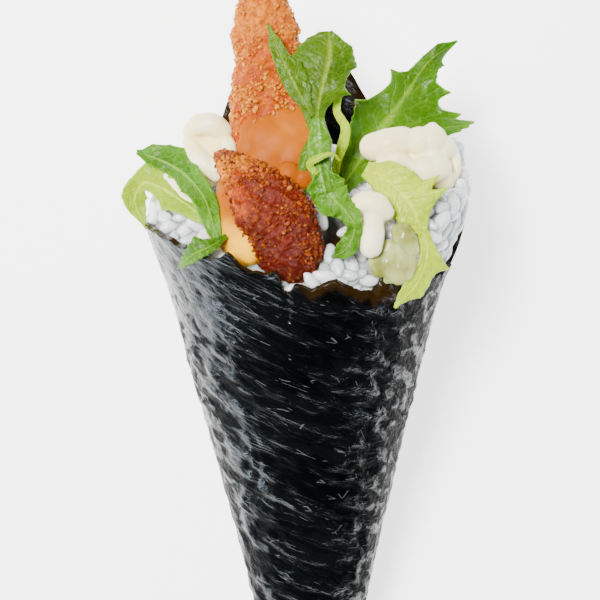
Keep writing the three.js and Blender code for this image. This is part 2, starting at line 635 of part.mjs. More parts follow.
// In the order that they are placed: each piece gives way to those before it.
const PIECES = [
  ["nori_wrap", SEAWEED, seaweed],
  ["chicken_strip", CRUST, (grow) => (grow ? friedClear(CHICKEN_STRIP) : fried(CHICKEN_STRIP))],
  ["chicken_front", CRUST, (grow) => (grow ? friedClear(CHICKEN_FRONT) : fried(CHICKEN_FRONT))],
  ["lettuce_centre", LETTUCE, lettuceCentre],
  ["lettuce_right", LETTUCE, (grow) => blade(RIGHT_BLADE, grow)],
  ["lettuce_pale", PALE_LETTUCE, lettucePale],
  ["lettuce_left_upper", LETTUCE, (grow) => blade(LEFT_UPPER_BLADE, grow)],
  ["lettuce_left_lower", PALE_LETTUCE, (grow) => blade(LEFT_LOWER_BLADE, grow)],
  ["lettuce_left_curl", LETTUCE, (grow) => blade(LEFT_CURL, grow)],
  ["lettuce_shred", PALE_LETTUCE, (grow) => blade(PALE_SHRED, grow)],
  ["lettuce_shred_centre", LETTUCE, (grow) => blade(CENTRE_SHRED, grow)],
  ["slice_upper", PALE_SLICE, (grow) => lobes(SLICE_UPPER, grow)],
  ["slice_lower", PALE_SLICE, (grow) => lobes(SLICE_LOWER, grow)],
  ["mayo_mid", MAYONNAISE, (grow) => lobes(MAYO_MID, grow)],
  ["mayo_right", MAYONNAISE, (grow) => lobes(MAYO_RIGHT, grow)],
  ["mayo_left", MAYONNAISE, (grow) => lobes(MAYO_LEFT, grow)],
  ["mayo_side", MAYONNAISE, (grow) => lobes(MAYO_SIDE, grow)],
  ["sauce_upper", ORANGE_SAUCE, (grow) => lobes(SAUCE_UPPER, grow)],
  ["sauce_lower", ORANGE_SAUCE, (grow) => lobes(SAUCE_LOWER, grow)],
  ["sauce_drop", ORANGE_SAUCE, (grow) => lobes(SAUCE_DROP, grow)],
];

const roll = new THREE.Group();
roll.position.set(-ORIGIN_X, -ORIGIN_Y, 0);

function place(name, body, material) {
  const mesh = new THREE.Mesh(toGeometry(body), material);
  mesh.name = name;
  roll.add(mesh);
}

const grown = [];
for (const [name, material, make] of PIECES) {
  let body = make(0);
  for (const other of grown) body = body.subtract(other);
  place(name, largest(body), material);
  grown.push(make(GAP));
}

const core = largest(grown.reduce((body, other) => body.subtract(other), riceCore()));
place("rice", largest(joined([core, ...riceGrains(grown)])), RICE);

const part = new THREE.Group();
part.add(roll);
export default part;
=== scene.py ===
# %% [markdown]
# # A temaki hand roll
# A cone of seaweed holds rice, two pieces of fried chicken, lettuce, mayonnaise and an orange sauce. It
# can't stand by itself, so it lies on its back and the camera looks straight down on its full side. This
# lesson builds each piece as a closed mesh at its real size, gives each finish a material made of nodes,
# and ends with the light.

# %% Load the frame
import math

import bmesh
import bpy
import numpy as np
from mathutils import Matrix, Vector, noise
from mathutils.bvhtree import BVHTree


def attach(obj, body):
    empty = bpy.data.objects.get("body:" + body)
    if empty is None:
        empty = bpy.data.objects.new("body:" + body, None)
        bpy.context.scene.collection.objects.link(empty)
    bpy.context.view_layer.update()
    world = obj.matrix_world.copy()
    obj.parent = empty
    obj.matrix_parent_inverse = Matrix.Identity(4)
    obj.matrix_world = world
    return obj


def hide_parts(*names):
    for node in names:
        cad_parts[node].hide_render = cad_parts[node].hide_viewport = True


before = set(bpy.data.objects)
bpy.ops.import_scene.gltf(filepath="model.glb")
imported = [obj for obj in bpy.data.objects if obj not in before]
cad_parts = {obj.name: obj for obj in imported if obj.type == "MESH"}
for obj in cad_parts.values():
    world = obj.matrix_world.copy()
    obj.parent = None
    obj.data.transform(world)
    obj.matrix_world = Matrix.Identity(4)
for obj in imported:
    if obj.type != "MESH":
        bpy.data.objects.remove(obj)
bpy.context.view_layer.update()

# %% [markdown]
# ## Camera and floor
# The roll's section touches the floor all along its back, and its middle line lies under the camera. A
# long lens keeps the cone's sides nearly parallel, as in a picture of food taken from half a metre away.

# %% Camera
MM = 0.001
ORIGIN = np.array([-1.12, 79.05, 0.0])  # the part's origin, in the roll's own millimetres from its tip
CAMERA_X = -1.14
CAMERA_Y = 98.0
CAMERA_HEIGHT = 500.0


def placed(points):
    """The roll's own millimetres turned into metres in the shared frame."""
    return (np.asarray(points, dtype=float) - ORIGIN) * MM


camera_data = bpy.data.cameras.new("camera")
camera_data.lens = 150
camera_data.sensor_width = 36
camera = bpy.data.objects.new("camera", camera_data)
camera.location = placed([CAMERA_X, CAMERA_Y, CAMERA_HEIGHT])
bpy.context.scene.collection.objects.link(camera)
bpy.context.scene.camera = camera
print("camera at", [round(value, 3) for value in camera.location])

# %% [markdown]
# ## Small helpers
# Food has few straight lines, so widths and outlines are read off lines drawn through knots, and each
# long piece follows a smooth curve through a few points. These functions do that for whole arrays at
# once, which is quick.

# %% Knots and curves
def along(knots, x):
    """Straight lines through knots of (x, value)."""
    xs, ys = zip(*knots)
    return np.interp(x, xs, ys)


def toothed(knots, x, sharpness=1.5):
    """Like along, but hollow between knots, so that the high ones become sharp teeth."""
    xs, ys = (np.array(column, dtype=float) for column in zip(*knots))
    x = np.clip(x, xs[0], xs[-1])
    i = np.clip(np.searchsorted(xs, x, side="right") - 1, 0, len(xs) - 2)
    part = (x - xs[i]) / (xs[i + 1] - xs[i])
    rising = ys[i + 1] > ys[i]
    eased = np.where(rising, part**sharpness, 1 - (1 - part) ** sharpness)
    return ys[i] + (ys[i + 1] - ys[i]) * eased


def smoothstep(low, high, x):
    part = np.clip((x - low) / (high - low), 0, 1)
    return part * part * (3 - 2 * part)


def spine_points(points, at, even):
    """Positions and directions on a centripetal curve through the points, at parts from 0 to 1 of it."""
    p = np.array(points, dtype=float)
    p = np.vstack([2 * p[0] - p[1], p, 2 * p[-1] - p[-2]])
    spans = len(points) - 1

    def position(t):
        place = np.clip(t, 0, 1) * spans
        i = np.minimum(place.astype(int), spans - 1)
        w = (place - i)[:, None]
        p0, p1, p2, p3 = p[i], p[i + 1], p[i + 2], p[i + 3]
        pairs = ((p0, p1), (p1, p2), (p2, p3))
        d0, d1, d2 = (np.linalg.norm(b - a, axis=1)[:, None] ** 0.5 for a, b in pairs)
        m1 = ((p1 - p0) / d0 - (p2 - p0) / (d0 + d1) + (p2 - p1) / d1) * d1
        m2 = ((p2 - p1) / d1 - (p3 - p1) / (d1 + d2) + (p3 - p2) / d2) * d1
        cubic = (2 * p1 - 2 * p2 + m1 + m2) * w + (-3 * p1 + 3 * p2 - 2 * m1 - m2)
        return (cubic * w + m1) * w + p1

    at = np.asarray(at, dtype=float)
    if even:
        fine = np.linspace(0, 1, 400)
        run = np.concatenate([[0], np.cumsum(np.linalg.norm(np.diff(position(fine), axis=0), axis=1))])
        at = np.interp(at * run[-1], run, fine)
    step = 1e-4
    forward = position(np.minimum(at + step, 1)) - position(np.maximum(at - step, 0))
    return position(at), forward / np.linalg.norm(forward, axis=1)[:, None]


def turned(vector, axis, degrees):
    """Each vector turned about its own axis."""
    angle = np.radians(np.asarray(degrees, dtype=float))[:, None]
    across = np.cross(axis, vector)
    along_axis = axis * np.sum(axis * vector, axis=1)[:, None]
    return vector * np.cos(angle) + across * np.sin(angle) + along_axis * (1 - np.cos(angle))


def side_and_up(forward, roll):
    side = np.cross(forward, [0, 0, 1])
    side = turned(side / np.linalg.norm(side, axis=1)[:, None], forward, roll)
    return side, np.cross(side, forward)


# %% [markdown]
# Every piece starts as a list of points and a list of faces. Most of them are skins over a row of rings,
# so one function closes such a skin with a pole at each end and checks that its faces look outwards. A
# number kept for each point, called an attribute, lets a material know where on the piece it is.

# %% Meshes
def make_object(name, points, faces, material, smooth=True):
    mesh = bpy.data.meshes.new(name)
    mesh.from_pydata(placed(points).tolist(), [], [tuple(face) for face in faces])
    mesh.materials.append(material)
    mesh.update()
    mesh.polygons.foreach_set("use_smooth", [smooth] * len(mesh.polygons))
    piece = bpy.data.objects.new(name, mesh)
    bpy.context.scene.collection.objects.link(piece)
    return piece


def facing_out(points, faces):
    """The faces, all reversed if they would face inwards."""
    points = np.asarray(points)
    corners = [points[[face[0], face[k], face[k + 1]]] for face in faces for k in range(1, len(face) - 1)]
    a, b, c = np.moveaxis(np.array(corners), 1, 0)
    volume = np.sum(a * np.cross(b, c))
    return [face[::-1] for face in faces] if volume < 0 else faces


def ring_skin(rings, start, end):
    """Faces and points of a skin over rings with a pole at each end."""
    count = len(rings[0])
    points = np.vstack([[start], *rings, [end]])
    last = len(points) - 1
    faces = []
    for j in range(count):
        near = (j + 1) % count
        faces.append((0, 1 + near, 1 + j))
        base = 1 + (len(rings) - 1) * count
        faces.append((last, base + j, base + near))
        for i in range(len(rings) - 1):
            row = 1 + i * count
            faces.append((row + j, row + near, row + near + count, row + j + count))
    return points, facing_out(points, faces)


def set_attribute(piece, name, values):
    """A number for each point, which a material can read."""
    attribute = piece.data.attributes.new(name, "FLOAT", "POINT")
    attribute.data.foreach_set("value", np.asarray(values, dtype=np.float32))


def fractal(points, size, octaves=3, offset=0.0):
    """Soft noise from about -1 to 1 at each point, with features of a given size in millimetres."""
    shift = Vector((offset, 0, 0))
    scale = 1.0 / size
    return np.array([noise.fractal(Vector(p) * scale + shift, 0.7, 2.1, octaves) for p in points])


def rough(p, size, phase=0.0):
    """Crossed waves, the same as the solids' own crags."""
    k = 6.283 / size
    x, y, z = p[..., 0], p[..., 1], p[..., 2]
    a = np.sin(k * (x + 0.6 * z) + phase + 1.7 * np.sin(0.5 * k * y))
    b = np.sin(k * (0.9 * y - 0.4 * x) + 2.1 * phase + 1.3 * np.sin(0.6 * k * z))
    c = np.sin(1.9 * k * (0.5 * x + 0.7 * y - z) + 0.7 * phase)
    return (a * b + 0.5 * c) / 1.5


# %% [markdown]
# A material is a small tree of nodes that feeds one main shader. These functions add a node, fill its
# inputs and hand back its output, so that each material below reads as a short recipe.

# %% Material helpers
def new_material(name):
    material = bpy.data.materials.new(name)
    material.use_nodes = True
    tree = material.node_tree
    return material, tree, tree.nodes["Principled BSDF"]


def add(tree, kind, **values):
    """A node with its inputs set by name or number."""
    node = tree.nodes.new(kind)
    for key, value in values.items():
        if hasattr(node, key):
            setattr(node, key, value)
        else:
            node.inputs[key.replace("_", " ")].default_value = value
    return node


def ramp(tree, source, stops):
    node = tree.nodes.new("ShaderNodeValToRGB")
    elements = node.color_ramp.elements
    while len(elements) < len(stops):
        elements.new(0.5)
    for element, (position, color) in zip(elements, stops):
        element.position = position
        element.color = (*color, 1)
    tree.links.new(source, node.inputs["Fac"])
    return node.outputs["Color"]


def texture(tree, kind, coordinates, scale, **values):
    node = add(tree, kind, **values)
    node.inputs["Scale"].default_value = scale
    tree.links.new(coordinates, node.inputs["Vector"])
    return node


def object_coordinates(tree):
    return tree.nodes.new("ShaderNodeTexCoord").outputs["Object"]


def mixed(tree, factor, a, b, blend="MIX"):
    """A colour mix whose three inputs may be sockets or plain values."""
    node = tree.nodes.new("ShaderNodeMix")
    node.data_type = "RGBA"
    node.blend_type = blend
    for socket, value in ((node.inputs[0], factor), (node.inputs[6], a), (node.inputs[7], b)):
        if isinstance(value, bpy.types.NodeSocket):
            tree.links.new(value, socket)
        elif isinstance(value, (int, float)):
            socket.default_value = value
        else:
            socket.default_value = (*value, 1)
    return node.outputs[2]


def scaled(tree, source, low, high, from_low=0.0, from_high=1.0):
    """A value carried from one range to another."""
    node = tree.nodes.new("ShaderNodeMapRange")
    for key, value in (("From Min", from_low), ("From Max", from_high), ("To Min", low), ("To Max", high)):
        node.inputs[key].default_value = value
    tree.links.new(source, node.inputs["Value"])
    return node.outputs["Result"]


def math_node(tree, operation, a, b):
    node = tree.nodes.new("ShaderNodeMath")
    node.operation = operation
    for socket, value in zip(node.inputs, (a, b)):
        if isinstance(value, bpy.types.NodeSocket):
            tree.links.new(value, socket)
        else:
            socket.default_value = value
    return node.outputs[0]


def bump(tree, shader, height, distance, strength=1.0, under=None):
    node = add(tree, "ShaderNodeBump", Strength=strength, Distance=distance)
    tree.links.new(height, node.inputs["Height"])
    if under:
        tree.links.new(under, node.inputs["Normal"])
    tree.links.new(node.outputs["Normal"], shader.inputs["Normal"])
    return node.outputs["Normal"]


def attribute(tree, name):
    node = tree.nodes.new("ShaderNodeAttribute")
    node.attribute_name = name
    return node.outputs["Fac"]


def soft_inside(shader, weight, radius, scale):
    """Light that enters the food and leaves it near by: its share, its reach by colour, and the unit."""
    shader.inputs["Subsurface Weight"].default_value = weight
    shader.inputs["Subsurface Radius"].default_value = radius
    shader.inputs["Subsurface Scale"].default_value = scale


# %% [markdown]
# Most finishes here are uneven in the same way: soft patches in the food, at one size or another. So the
# patches are one node group, built once, and each material places it with its own size and range. Two
# more groups follow further on, one for the grain of the crusts and one for the veins of the leaves.

# %% Shared node groups
def new_group(name, inputs, outputs):
    """A shader node group with named number sockets, and its input and output nodes."""
    group = bpy.data.node_groups.new(name, "ShaderNodeTree")
    for label in inputs:
        group.interface.new_socket(label, in_out="INPUT", socket_type="NodeSocketFloat")
    for label in outputs:
        group.interface.new_socket(label, in_out="OUTPUT", socket_type="NodeSocketFloat")
    return group, group.nodes.new("NodeGroupInput"), group.nodes.new("NodeGroupOutput")


def grouped(tree, group):
    node = tree.nodes.new("ShaderNodeGroup")
    node.node_tree = group
    return node


PATCH_INPUTS = ["Scale", "Detail", "Roughness", "From Low", "From High", "Low", "High"]
patch_group, start, finish = new_group("patches", PATCH_INPUTS, ["Value"])
clouds = patch_group.nodes.new("ShaderNodeTexNoise")
spread = patch_group.nodes.new("ShaderNodeMapRange")
links = patch_group.links
links.new(object_coordinates(patch_group), clouds.inputs["Vector"])
for label in ("Scale", "Detail", "Roughness"):
    links.new(start.outputs[label], clouds.inputs[label])
links.new(clouds.outputs["Fac"], spread.inputs["Value"])
for label, name in zip(PATCH_INPUTS[3:], ("From Min", "From Max", "To Min", "To Max")):
    links.new(start.outputs[label], spread.inputs[name])
links.new(spread.outputs["Result"], finish.inputs["Value"])
print("patches group has", len(patch_group.nodes), "nodes")


def patches(tree, scale, detail=2.0, roughness=0.5, low=0.0, high=1.0, spread=(0.0, 1.0)):
    """Soft patches that run from low to high."""
    node = grouped(tree, patch_group)
    for label, value in zip(PATCH_INPUTS, (scale, detail, roughness, *spread, low, high)):
        node.inputs[label].default_value = value
    return node.outputs["Value"]


MOST = (0.3, 0.7)  # nearly all of a noise's values lie here


# %% [markdown]
# ## Seaweed
# The wrap is a half sheet of toasted seaweed, rolled into a cone with a sheer black face that is full of
# small wrinkles. Each section across the roll is a circle that touches the floor, and the mouth's edge
# runs from low at the front to the sheet's corner at the back. Displacing the mesh itself, and not only
# the shading, lets the light break on the wrinkles as it does on the real leaf.

# %% Cone
TIP_RADIUS = 2.7
CONE_SLOPE = 0.1837
CONE_BELL = 0.000448
FLARE = 1.1
TIP_ROUND = 5.0
WALL = 0.8
SEAM_STEP = 0.55
REST_PRESS = 0.8
INNER_LIP = 0.5
SCRAP_HEIGHT = 3.2
SCRAP_ANGLE = 36.0

RIM = [
    (-180, 148.5), (-170, 146.5), (-156, 139.5), (-148, 129), (-135, 121.5), (-115, 116), (-90, 112.7),
    (-67, 110), (-50, 107.3), (-38, 105.4), (-31, 106.2), (-22, 102.4), (-11, 103), (-9.5, 99.6),
    (-6.5, 99.4), (-5, 100.4), (2, 99.6), (12, 101.2), (18, 100), (28, 98.7), (40, 99.6), (52, 100.6),
    (66, 102.8), (80, 105.1), (88, 108.9), (96, 112.4), (106, 115), (120, 116.6), (135, 119.5),
    (150, 126.5), (156, 131.5), (163, 138.5), (171, 145.5), (180, 148.5),
]
SEAM = [(20, 66), (50, 68), (68, 57), (74, 74), (84, 70), (120, 84)]


def cone_radius(y):
    return TIP_RADIUS + CONE_SLOPE * y + CONE_BELL * y * y + FLARE * smoothstep(98, 114, y)


def cone_centre(y):
    return 0.45 + 0.55 * np.cos((y - 34) / 20) * smoothstep(0, 40, y)


def cone_points(y, degrees, outward):
    """Points of the cone, pushed out by a distance, with the back pressed flat on the floor."""
    angle = np.radians(degrees)
    radius = cone_radius(y) * np.sqrt(1 - (1 - np.clip(y / TIP_ROUND, 0, 1)) ** 2)
    x = cone_centre(y) + (radius + outward) * np.sin(angle)
    z = cone_radius(y) + (radius + outward) * np.cos(angle)
    z = np.maximum(z, REST_PRESS - np.minimum(outward, 0)) - REST_PRESS
    return np.stack([x, y + 0 * x, z], axis=-1)


# %% [markdown]
# Seaweed crumples like film: flat facets between sharp creases. A zigzag wave gives such creases, and
# slow noise bends it so that no two run alike. The main creases slant down to the right. Near the rim
# the sheet is calmer, and a short slit runs into it there.

# %% Wrinkles
SEAWEED_COLUMNS = 320
OUTER_ROWS = 260
INNER_ROWS = 26
STREAK_SLANT = 24.0  # the long wrinkles run down and to the right
STREAK_DEPTH = 0.36
CROSS_DEPTH = 0.30
DIMPLE_DEPTH = 0.05
SLIT_ANGLE = -7.6
SLIT_WIDTH = 1.2
SLIT_DEPTH = 0.6


def zigzag(u):
    """A wave of straight slopes and sharp creases, from 0 to 1."""
    return 2 * np.abs(u - np.floor(u + 0.5))


def wrinkle_height(y, degrees):
    """Flat facets between creases, in millimetres, as a film crumples."""
    slant = math.radians(STREAK_SLANT)
    around = np.radians(degrees) * cone_radius(y)
    runs = around * math.cos(slant) - y * math.sin(slant)
    across = around * math.sin(slant) + y * math.cos(slant)
    warps = []
    for r, a, x, v in zip(runs, across, around, y):
        slow = noise.noise(Vector((r / 8.0, a / 5.0, 3.7)))
        quick = noise.noise(Vector((r / 3.6, a / 2.6, 9.1)))
        patch = noise.noise(Vector((x / 14.0, v / 11.0, 5.3)))
        dimple = noise.fractal(Vector((x / 1.4, v / 1.4, 1.9)), 0.6, 2.1, 2)
        warps.append((slow, quick, patch, dimple))
    slow, quick, patch, dimple = np.array(warps).T
    streak = zigzag(across / 3.9 + 1.1 * slow + 0.2 * quick)
    cross = zigzag((0.75 * runs + 0.6 * across) / 6.5 + 0.9 * slow - 0.25 * quick + 1.3 * patch)
    strength = 0.75 + 0.6 * patch
    calm = 1 - 0.6 * smoothstep(88, 98, y)
    slit = SLIT_DEPTH * np.exp(-(((degrees - SLIT_ANGLE) / SLIT_WIDTH) ** 2)) * smoothstep(93, 95, y)
    folds = calm * strength * (STREAK_DEPTH * streak + CROSS_DEPTH * cross)
    return folds + 0.12 * quick + DIMPLE_DEPTH * dimple - slit


def seam_lift(y, degrees):
    behind = (along(SEAM, y) - degrees) % 360
    return SEAM_STEP * (1 - behind / 360)


degrees = np.linspace(-180, 180, SEAWEED_COLUMNS, endpoint=False)
rim_circle = [Vector((9 * math.sin(a), 9 * math.cos(a), 2.2)) for a in np.radians(degrees)]
rim_wave = np.array([noise.fractal(spot, 0.7, 2.0, 3) for spot in rim_circle])
rim = along(RIM, degrees) + 0.55 * rim_wave
scrap = SCRAP_HEIGHT * np.exp(-(((degrees - SCRAP_ANGLE) / 7) ** 4)) * (0.85 + 0.3 * rim_wave)
inner_rim = rim + INNER_LIP + scrap
under = smoothstep(140, 165, np.abs(degrees))


def outer_ring(y, outward=0.0):
    height = (1 - under) * smoothstep(2, 12, y) * wrinkle_height(y, degrees)
    return cone_points(y, degrees, outward + height + seam_lift(y, degrees) * (1 - under))


rings = []
for part in np.linspace(0, 1, OUTER_ROWS) ** 0.85:
    rings.append(outer_ring(rim * max(part, 0.004)))
rings.append(outer_ring(rim + 0.05, -0.3))
rings.append(cone_points(inner_rim, degrees, -0.4 + 0.2 * rim_wave))
rings.append(cone_points(inner_rim, degrees, -WALL + 0.2 * rim_wave))
for part in np.linspace(0.985, 0.3, INNER_ROWS):
    rings.append(cone_points(rim * part, degrees, -WALL))
INSIDE_END = 35.6
inside_pole = [cone_centre(INSIDE_END), INSIDE_END, cone_radius(INSIDE_END)]
tip_pole = [cone_centre(0.0), 0, TIP_RADIUS - REST_PRESS]
seaweed_points, seaweed_faces = ring_skin(rings, tip_pole, inside_pole)
print("seaweed has", len(seaweed_faces), "faces")

# %% [markdown]
# Toasted seaweed is nearly black, a little green where light comes through, and brown at its thin torn
# edge. Its gloss changes from place to place, because the crushed fibres show more in some spots. Tiny
# pale fibres lie on it.

# %% Seaweed material
SEAWEED_BLACK = (0.0006, 0.0007, 0.0008)
SEAWEED_GREEN = (0.0016, 0.0020, 0.0022)
FIBRE = (0.085, 0.095, 0.095)
TORN_EDGE = (0.016, 0.0075, 0.0012)
seaweed, tree, shader = new_material("seaweed")
place = object_coordinates(tree)
turn = add(tree, "ShaderNodeMapping")
turn.inputs["Rotation"].default_value = (0, 0, math.radians(STREAK_SLANT))
tree.links.new(place, turn.inputs["Vector"])
stretch = add(tree, "ShaderNodeMapping")
stretch.inputs["Scale"].default_value = (0.17, 1.0, 0.8)
tree.links.new(turn.outputs["Vector"], stretch.inputs["Vector"])
grain_way = stretch.outputs["Vector"]
streaks = texture(tree, "ShaderNodeTexNoise", grain_way, 430, Detail=4.0, Roughness=0.55, Distortion=0.3)
color = ramp(tree, patches(tree, 60, 3.0, 0.6), [(0.35, SEAWEED_BLACK), (0.65, SEAWEED_GREEN)])
fibre = texture(tree, "ShaderNodeTexVoronoi", grain_way, 420, feature="DISTANCE_TO_EDGE")
fibre_mask = ramp(tree, fibre.outputs["Distance"], [(0.0, (1, 1, 1)), (0.022, (0, 0, 0))])
fibre_break = ramp(tree, patches(tree, 380), [(0.60, (0, 0, 0)), (0.65, (1, 1, 1))])
fibres = mixed(tree, 1.0, fibre_mask, fibre_break, "MULTIPLY")
color = mixed(tree, fibres, color, FIBRE)
color = mixed(tree, attribute(tree, "lip"), color, TORN_EDGE)
tree.links.new(color, shader.inputs["Base Color"])
large = patches(tree, 60, 3.0, 0.6, -0.06, 0.06, MOST)
uneven = math_node(tree, "ADD", streaks.outputs["Fac"], large)
uneven = math_node(tree, "ADD", uneven, attribute(tree, "sheen"))
gloss = ramp(tree, uneven, [(0.49, (0, 0, 0)), (0.62, (1, 1, 1))])
tree.links.new(scaled(tree, gloss, 0.34, 0.17), shader.inputs["Roughness"])
tree.links.new(scaled(tree, gloss, 0.02, 0.29), shader.inputs["Specular IOR Level"])
shader.inputs["Specular Tint"].default_value = (0.74, 0.88, 1.0, 1)
first = bump(tree, shader, streaks.outputs["Fac"], 0.0015, 0.6)
bump(tree, shader, patches(tree, 1000, 4.0, 0.7), 0.0002, 0.35, first)

# %% [markdown]
# The finished sheet carries two attributes for its material. One marks the thin torn lip, which is
# brown, and one the smooth part at the left of the rim, which shines as a whole.

# %% Make the seaweed
wrap = make_object("seaweed_cone", seaweed_points, seaweed_faces, seaweed)
row_of = (np.arange(len(seaweed_points)) - 1) // SEAWEED_COLUMNS
column_of = (np.arange(len(seaweed_points)) - 1) % SEAWEED_COLUMNS
below_rim = rim[column_of] + 0.9 * rim_wave[column_of] - seaweed_points[:, 1]
front_side = smoothstep(-6, 4, degrees[column_of]) * (1 - smoothstep(46, 60, degrees[column_of]))
lip_value = front_side * (1 - smoothstep(0.8, 2.2, below_rim))
lip_value = np.where((row_of >= OUTER_ROWS) & (row_of <= OUTER_ROWS + 3), 1.0, lip_value)
set_attribute(wrap, "lip", lip_value)
left_side = 1 - smoothstep(-12, -2, degrees[column_of])
set_attribute(wrap, "sheen", 0.14 * left_side * smoothstep(84, 97, seaweed_points[:, 1]))
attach(wrap, "root")
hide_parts("nori_wrap")

# %% [markdown]
# ## Fried chicken
# Two long pieces of chicken fried in crumbs stand in the cone. Each is a loft with a rounded box for a
# section. Big crags come from the same waves as the solid. Over them lie pebbly crumbs, which are cells
# of a Voronoi field raised like small domes, so that the outline is rough too.

# %% Loft for the crust
def fried(name, spec, rows, around, material):
    t = np.linspace(0, 1, rows + 1)
    at, forward = spine_points(spec["spine"], t, even=False)
    side, up = side_and_up(forward, along(spec["lean"], t))
    end = np.sqrt(np.maximum(0.02, 1 - np.abs(2 * t - 1) ** 9))
    half_width = 0.5 * along(spec["width"], t) * end
    half_thick = 0.5 * along(spec["thick"], t) * end
    angle = np.linspace(0, 2 * math.pi, around, endpoint=False)
    c = np.sign(np.cos(angle)) * np.abs(np.cos(angle)) ** 0.75
    s = np.sign(np.sin(angle)) * np.abs(np.sin(angle)) ** 0.75
    bare = (
        at[:, None]
        + side[:, None] * (half_width[:, None] * c)[..., None]
        + up[:, None] * (half_thick[:, None] * s)[..., None]
    )
    out = bare - at[:, None]
    out /= np.linalg.norm(out, axis=2)[..., None]
    crag = 0.7 * spec["crag"] * (rough(bare, 5.2, spec["phase"]) + 0.3 * rough(bare, 2.9, spec["phase"] + 2))
    relief, tones = [], []
    for p in bare.reshape(-1, 3):
        v = Vector(p) + Vector((spec["phase"], 0, 0))
        bumps = noise.fractal(v / 1.1, 0.6, 2.2, 4)
        grit = max(0.0, 1 - 1.7 * noise.voronoi(v / 0.75)[0][0])
        patch = 0.5 + 0.5 * math.tanh(2.2 * noise.fractal(v / 4.5, 0.8, 2.0, 3))
        relief.append(0.2 * bumps + 0.3 * grit * (0.3 + 0.7 * patch))
        tones.append(grit * patch + 0.5 * max(0.0, bumps))
    height = crag + np.array(relief).reshape(crag.shape) - 0.1
    points = bare + out * height[..., None]
    start = at[0] - forward[0] * 0.5
    stop = at[-1] + forward[-1] * 0.5
    all_points, faces = ring_skin(list(points), start, stop)
    piece = make_object(name, all_points, faces, material)
    set_attribute(piece, "crumb", np.concatenate([[0], tones, [0]]))
    set_attribute(piece, "run", np.concatenate([[0], np.repeat(t, around), [1]]))
    set_attribute(piece, "across", np.concatenate([[0], np.tile(np.cos(angle), rows + 1), [0]]))
    return piece


# %% [markdown]
# Fried crumbs are pale gold on their tips, orange between them with painted shade in the hollows, and
# red-brown where the oil was hottest. A coat of oil gives small sharp glints. The front piece is browner
# towards its lower end.

# %% Crust materials
grain_group, start, finish = new_group("crumb_grain", [], ["Crevice Shade", "Tip", "Dots", "Roughness", "Grit"])
# painted shade: where the crumb relief is low, between the crumbs, the colour is darkened
crevice_shade = ramp(grain_group, attribute(grain_group, "crumb"), [(0.0, (0.5, 0.5, 0.5)), (0.22, (0, 0, 0))])
speckle = patches(grain_group, 1300, 3.0, 0.7)
uneven = scaled(grain_group, speckle, 0.2, 1.3, 0.35, 0.65)
tip = math_node(grain_group, "MULTIPLY", attribute(grain_group, "crumb"), uneven)
dots = ramp(grain_group, speckle, [(0.30, (0.6, 0.6, 0.6)), (0.36, (0, 0, 0))])
dull = scaled(grain_group, speckle, 0.3, 0.6, *MOST)
grit = patches(grain_group, 2300, 3.0, 0.7)
for label, source in (("Crevice Shade", crevice_shade), ("Tip", tip), ("Dots", dots), ("Roughness", dull), ("Grit", grit)):
    grain_group.links.new(source, finish.inputs[label])


def crust_material(name, stops, dark_from, dark_to, crumbs, shaded_hollows, lean=0.0, spots=0.5):
    """Fried crumbs whose colour goes from pale to deep along the piece, or across it, with painted shade in
    the hollows between crumbs.
    """
    material, tree, shader = new_material(name)
    grain = grouped(tree, grain_group).outputs
    run = scaled(tree, attribute(tree, "run"), dark_from, dark_to)
    across = math_node(tree, "MULTIPLY", attribute(tree, "across"), lean)
    blotches = patches(tree, 210, 5.0, 0.65, -spots, spots, MOST)
    shade = math_node(tree, "ADD", math_node(tree, "ADD", run, across), blotches)
    # painted shade in the hollows between crumbs
    color = mixed(tree, grain["Crevice Shade"], ramp(tree, shade, stops), shaded_hollows)
    color = mixed(tree, scaled(tree, grain["Tip"], 0.0, crumbs, 0.15, 0.9), color, CRUMB)
    color = mixed(tree, grain["Dots"], color, DEEP_CRUST_AND_SHADE)
    tree.links.new(color, shader.inputs["Base Color"])
    tree.links.new(grain["Roughness"], shader.inputs["Roughness"])
    bump(tree, shader, grain["Grit"], 0.0002, 0.8)
    shader.inputs["Specular IOR Level"].default_value = 0.12
    soft_inside(shader, 0.15, (1.0, 0.3, 0.1), 0.0012)
    return material


CRUMB = (0.52, 0.18, 0.006)
GOLD = (0.52, 0.15, 0.0008)
AMBER = (0.40, 0.075, 0.0004)
ORANGE_CRUST = (0.30, 0.036, 0.0004)
# painted shade colour for the hollows between crumbs on the strip
CREVICE_SHADE_CRUST = (0.20, 0.018, 0.0004)
RED_CRUST = (0.13, 0.010, 0.0008)
# deep brown of the front piece and its dark specks, also its painted shade in the hollows between crumbs
DEEP_CRUST_AND_SHADE = (0.060, 0.005, 0.002)
STRIP_STOPS = [(0.1, GOLD), (0.5, AMBER), (0.85, ORANGE_CRUST)]
FRONT_STOPS = [(0.0, GOLD), (0.14, ORANGE_CRUST), (0.3, RED_CRUST), (0.85, DEEP_CRUST_AND_SHADE)]
strip_crust = crust_material("strip_crust", STRIP_STOPS, 0.1, 0.95, 0.6, CREVICE_SHADE_CRUST)
front_crust = crust_material("front_crust", FRONT_STOPS, -0.12, 0.95, 0.35, DEEP_CRUST_AND_SHADE, 0.08, 0.3)
print("crust materials:", strip_crust.name, front_crust.name)

# %% [markdown]
# Each piece of chicken has its own curve, from its upper end to its lower end, and its own widths and
# thickness along it. The tall strip stands at the back and narrows upwards. The short one leans over the
# sauce at the front.

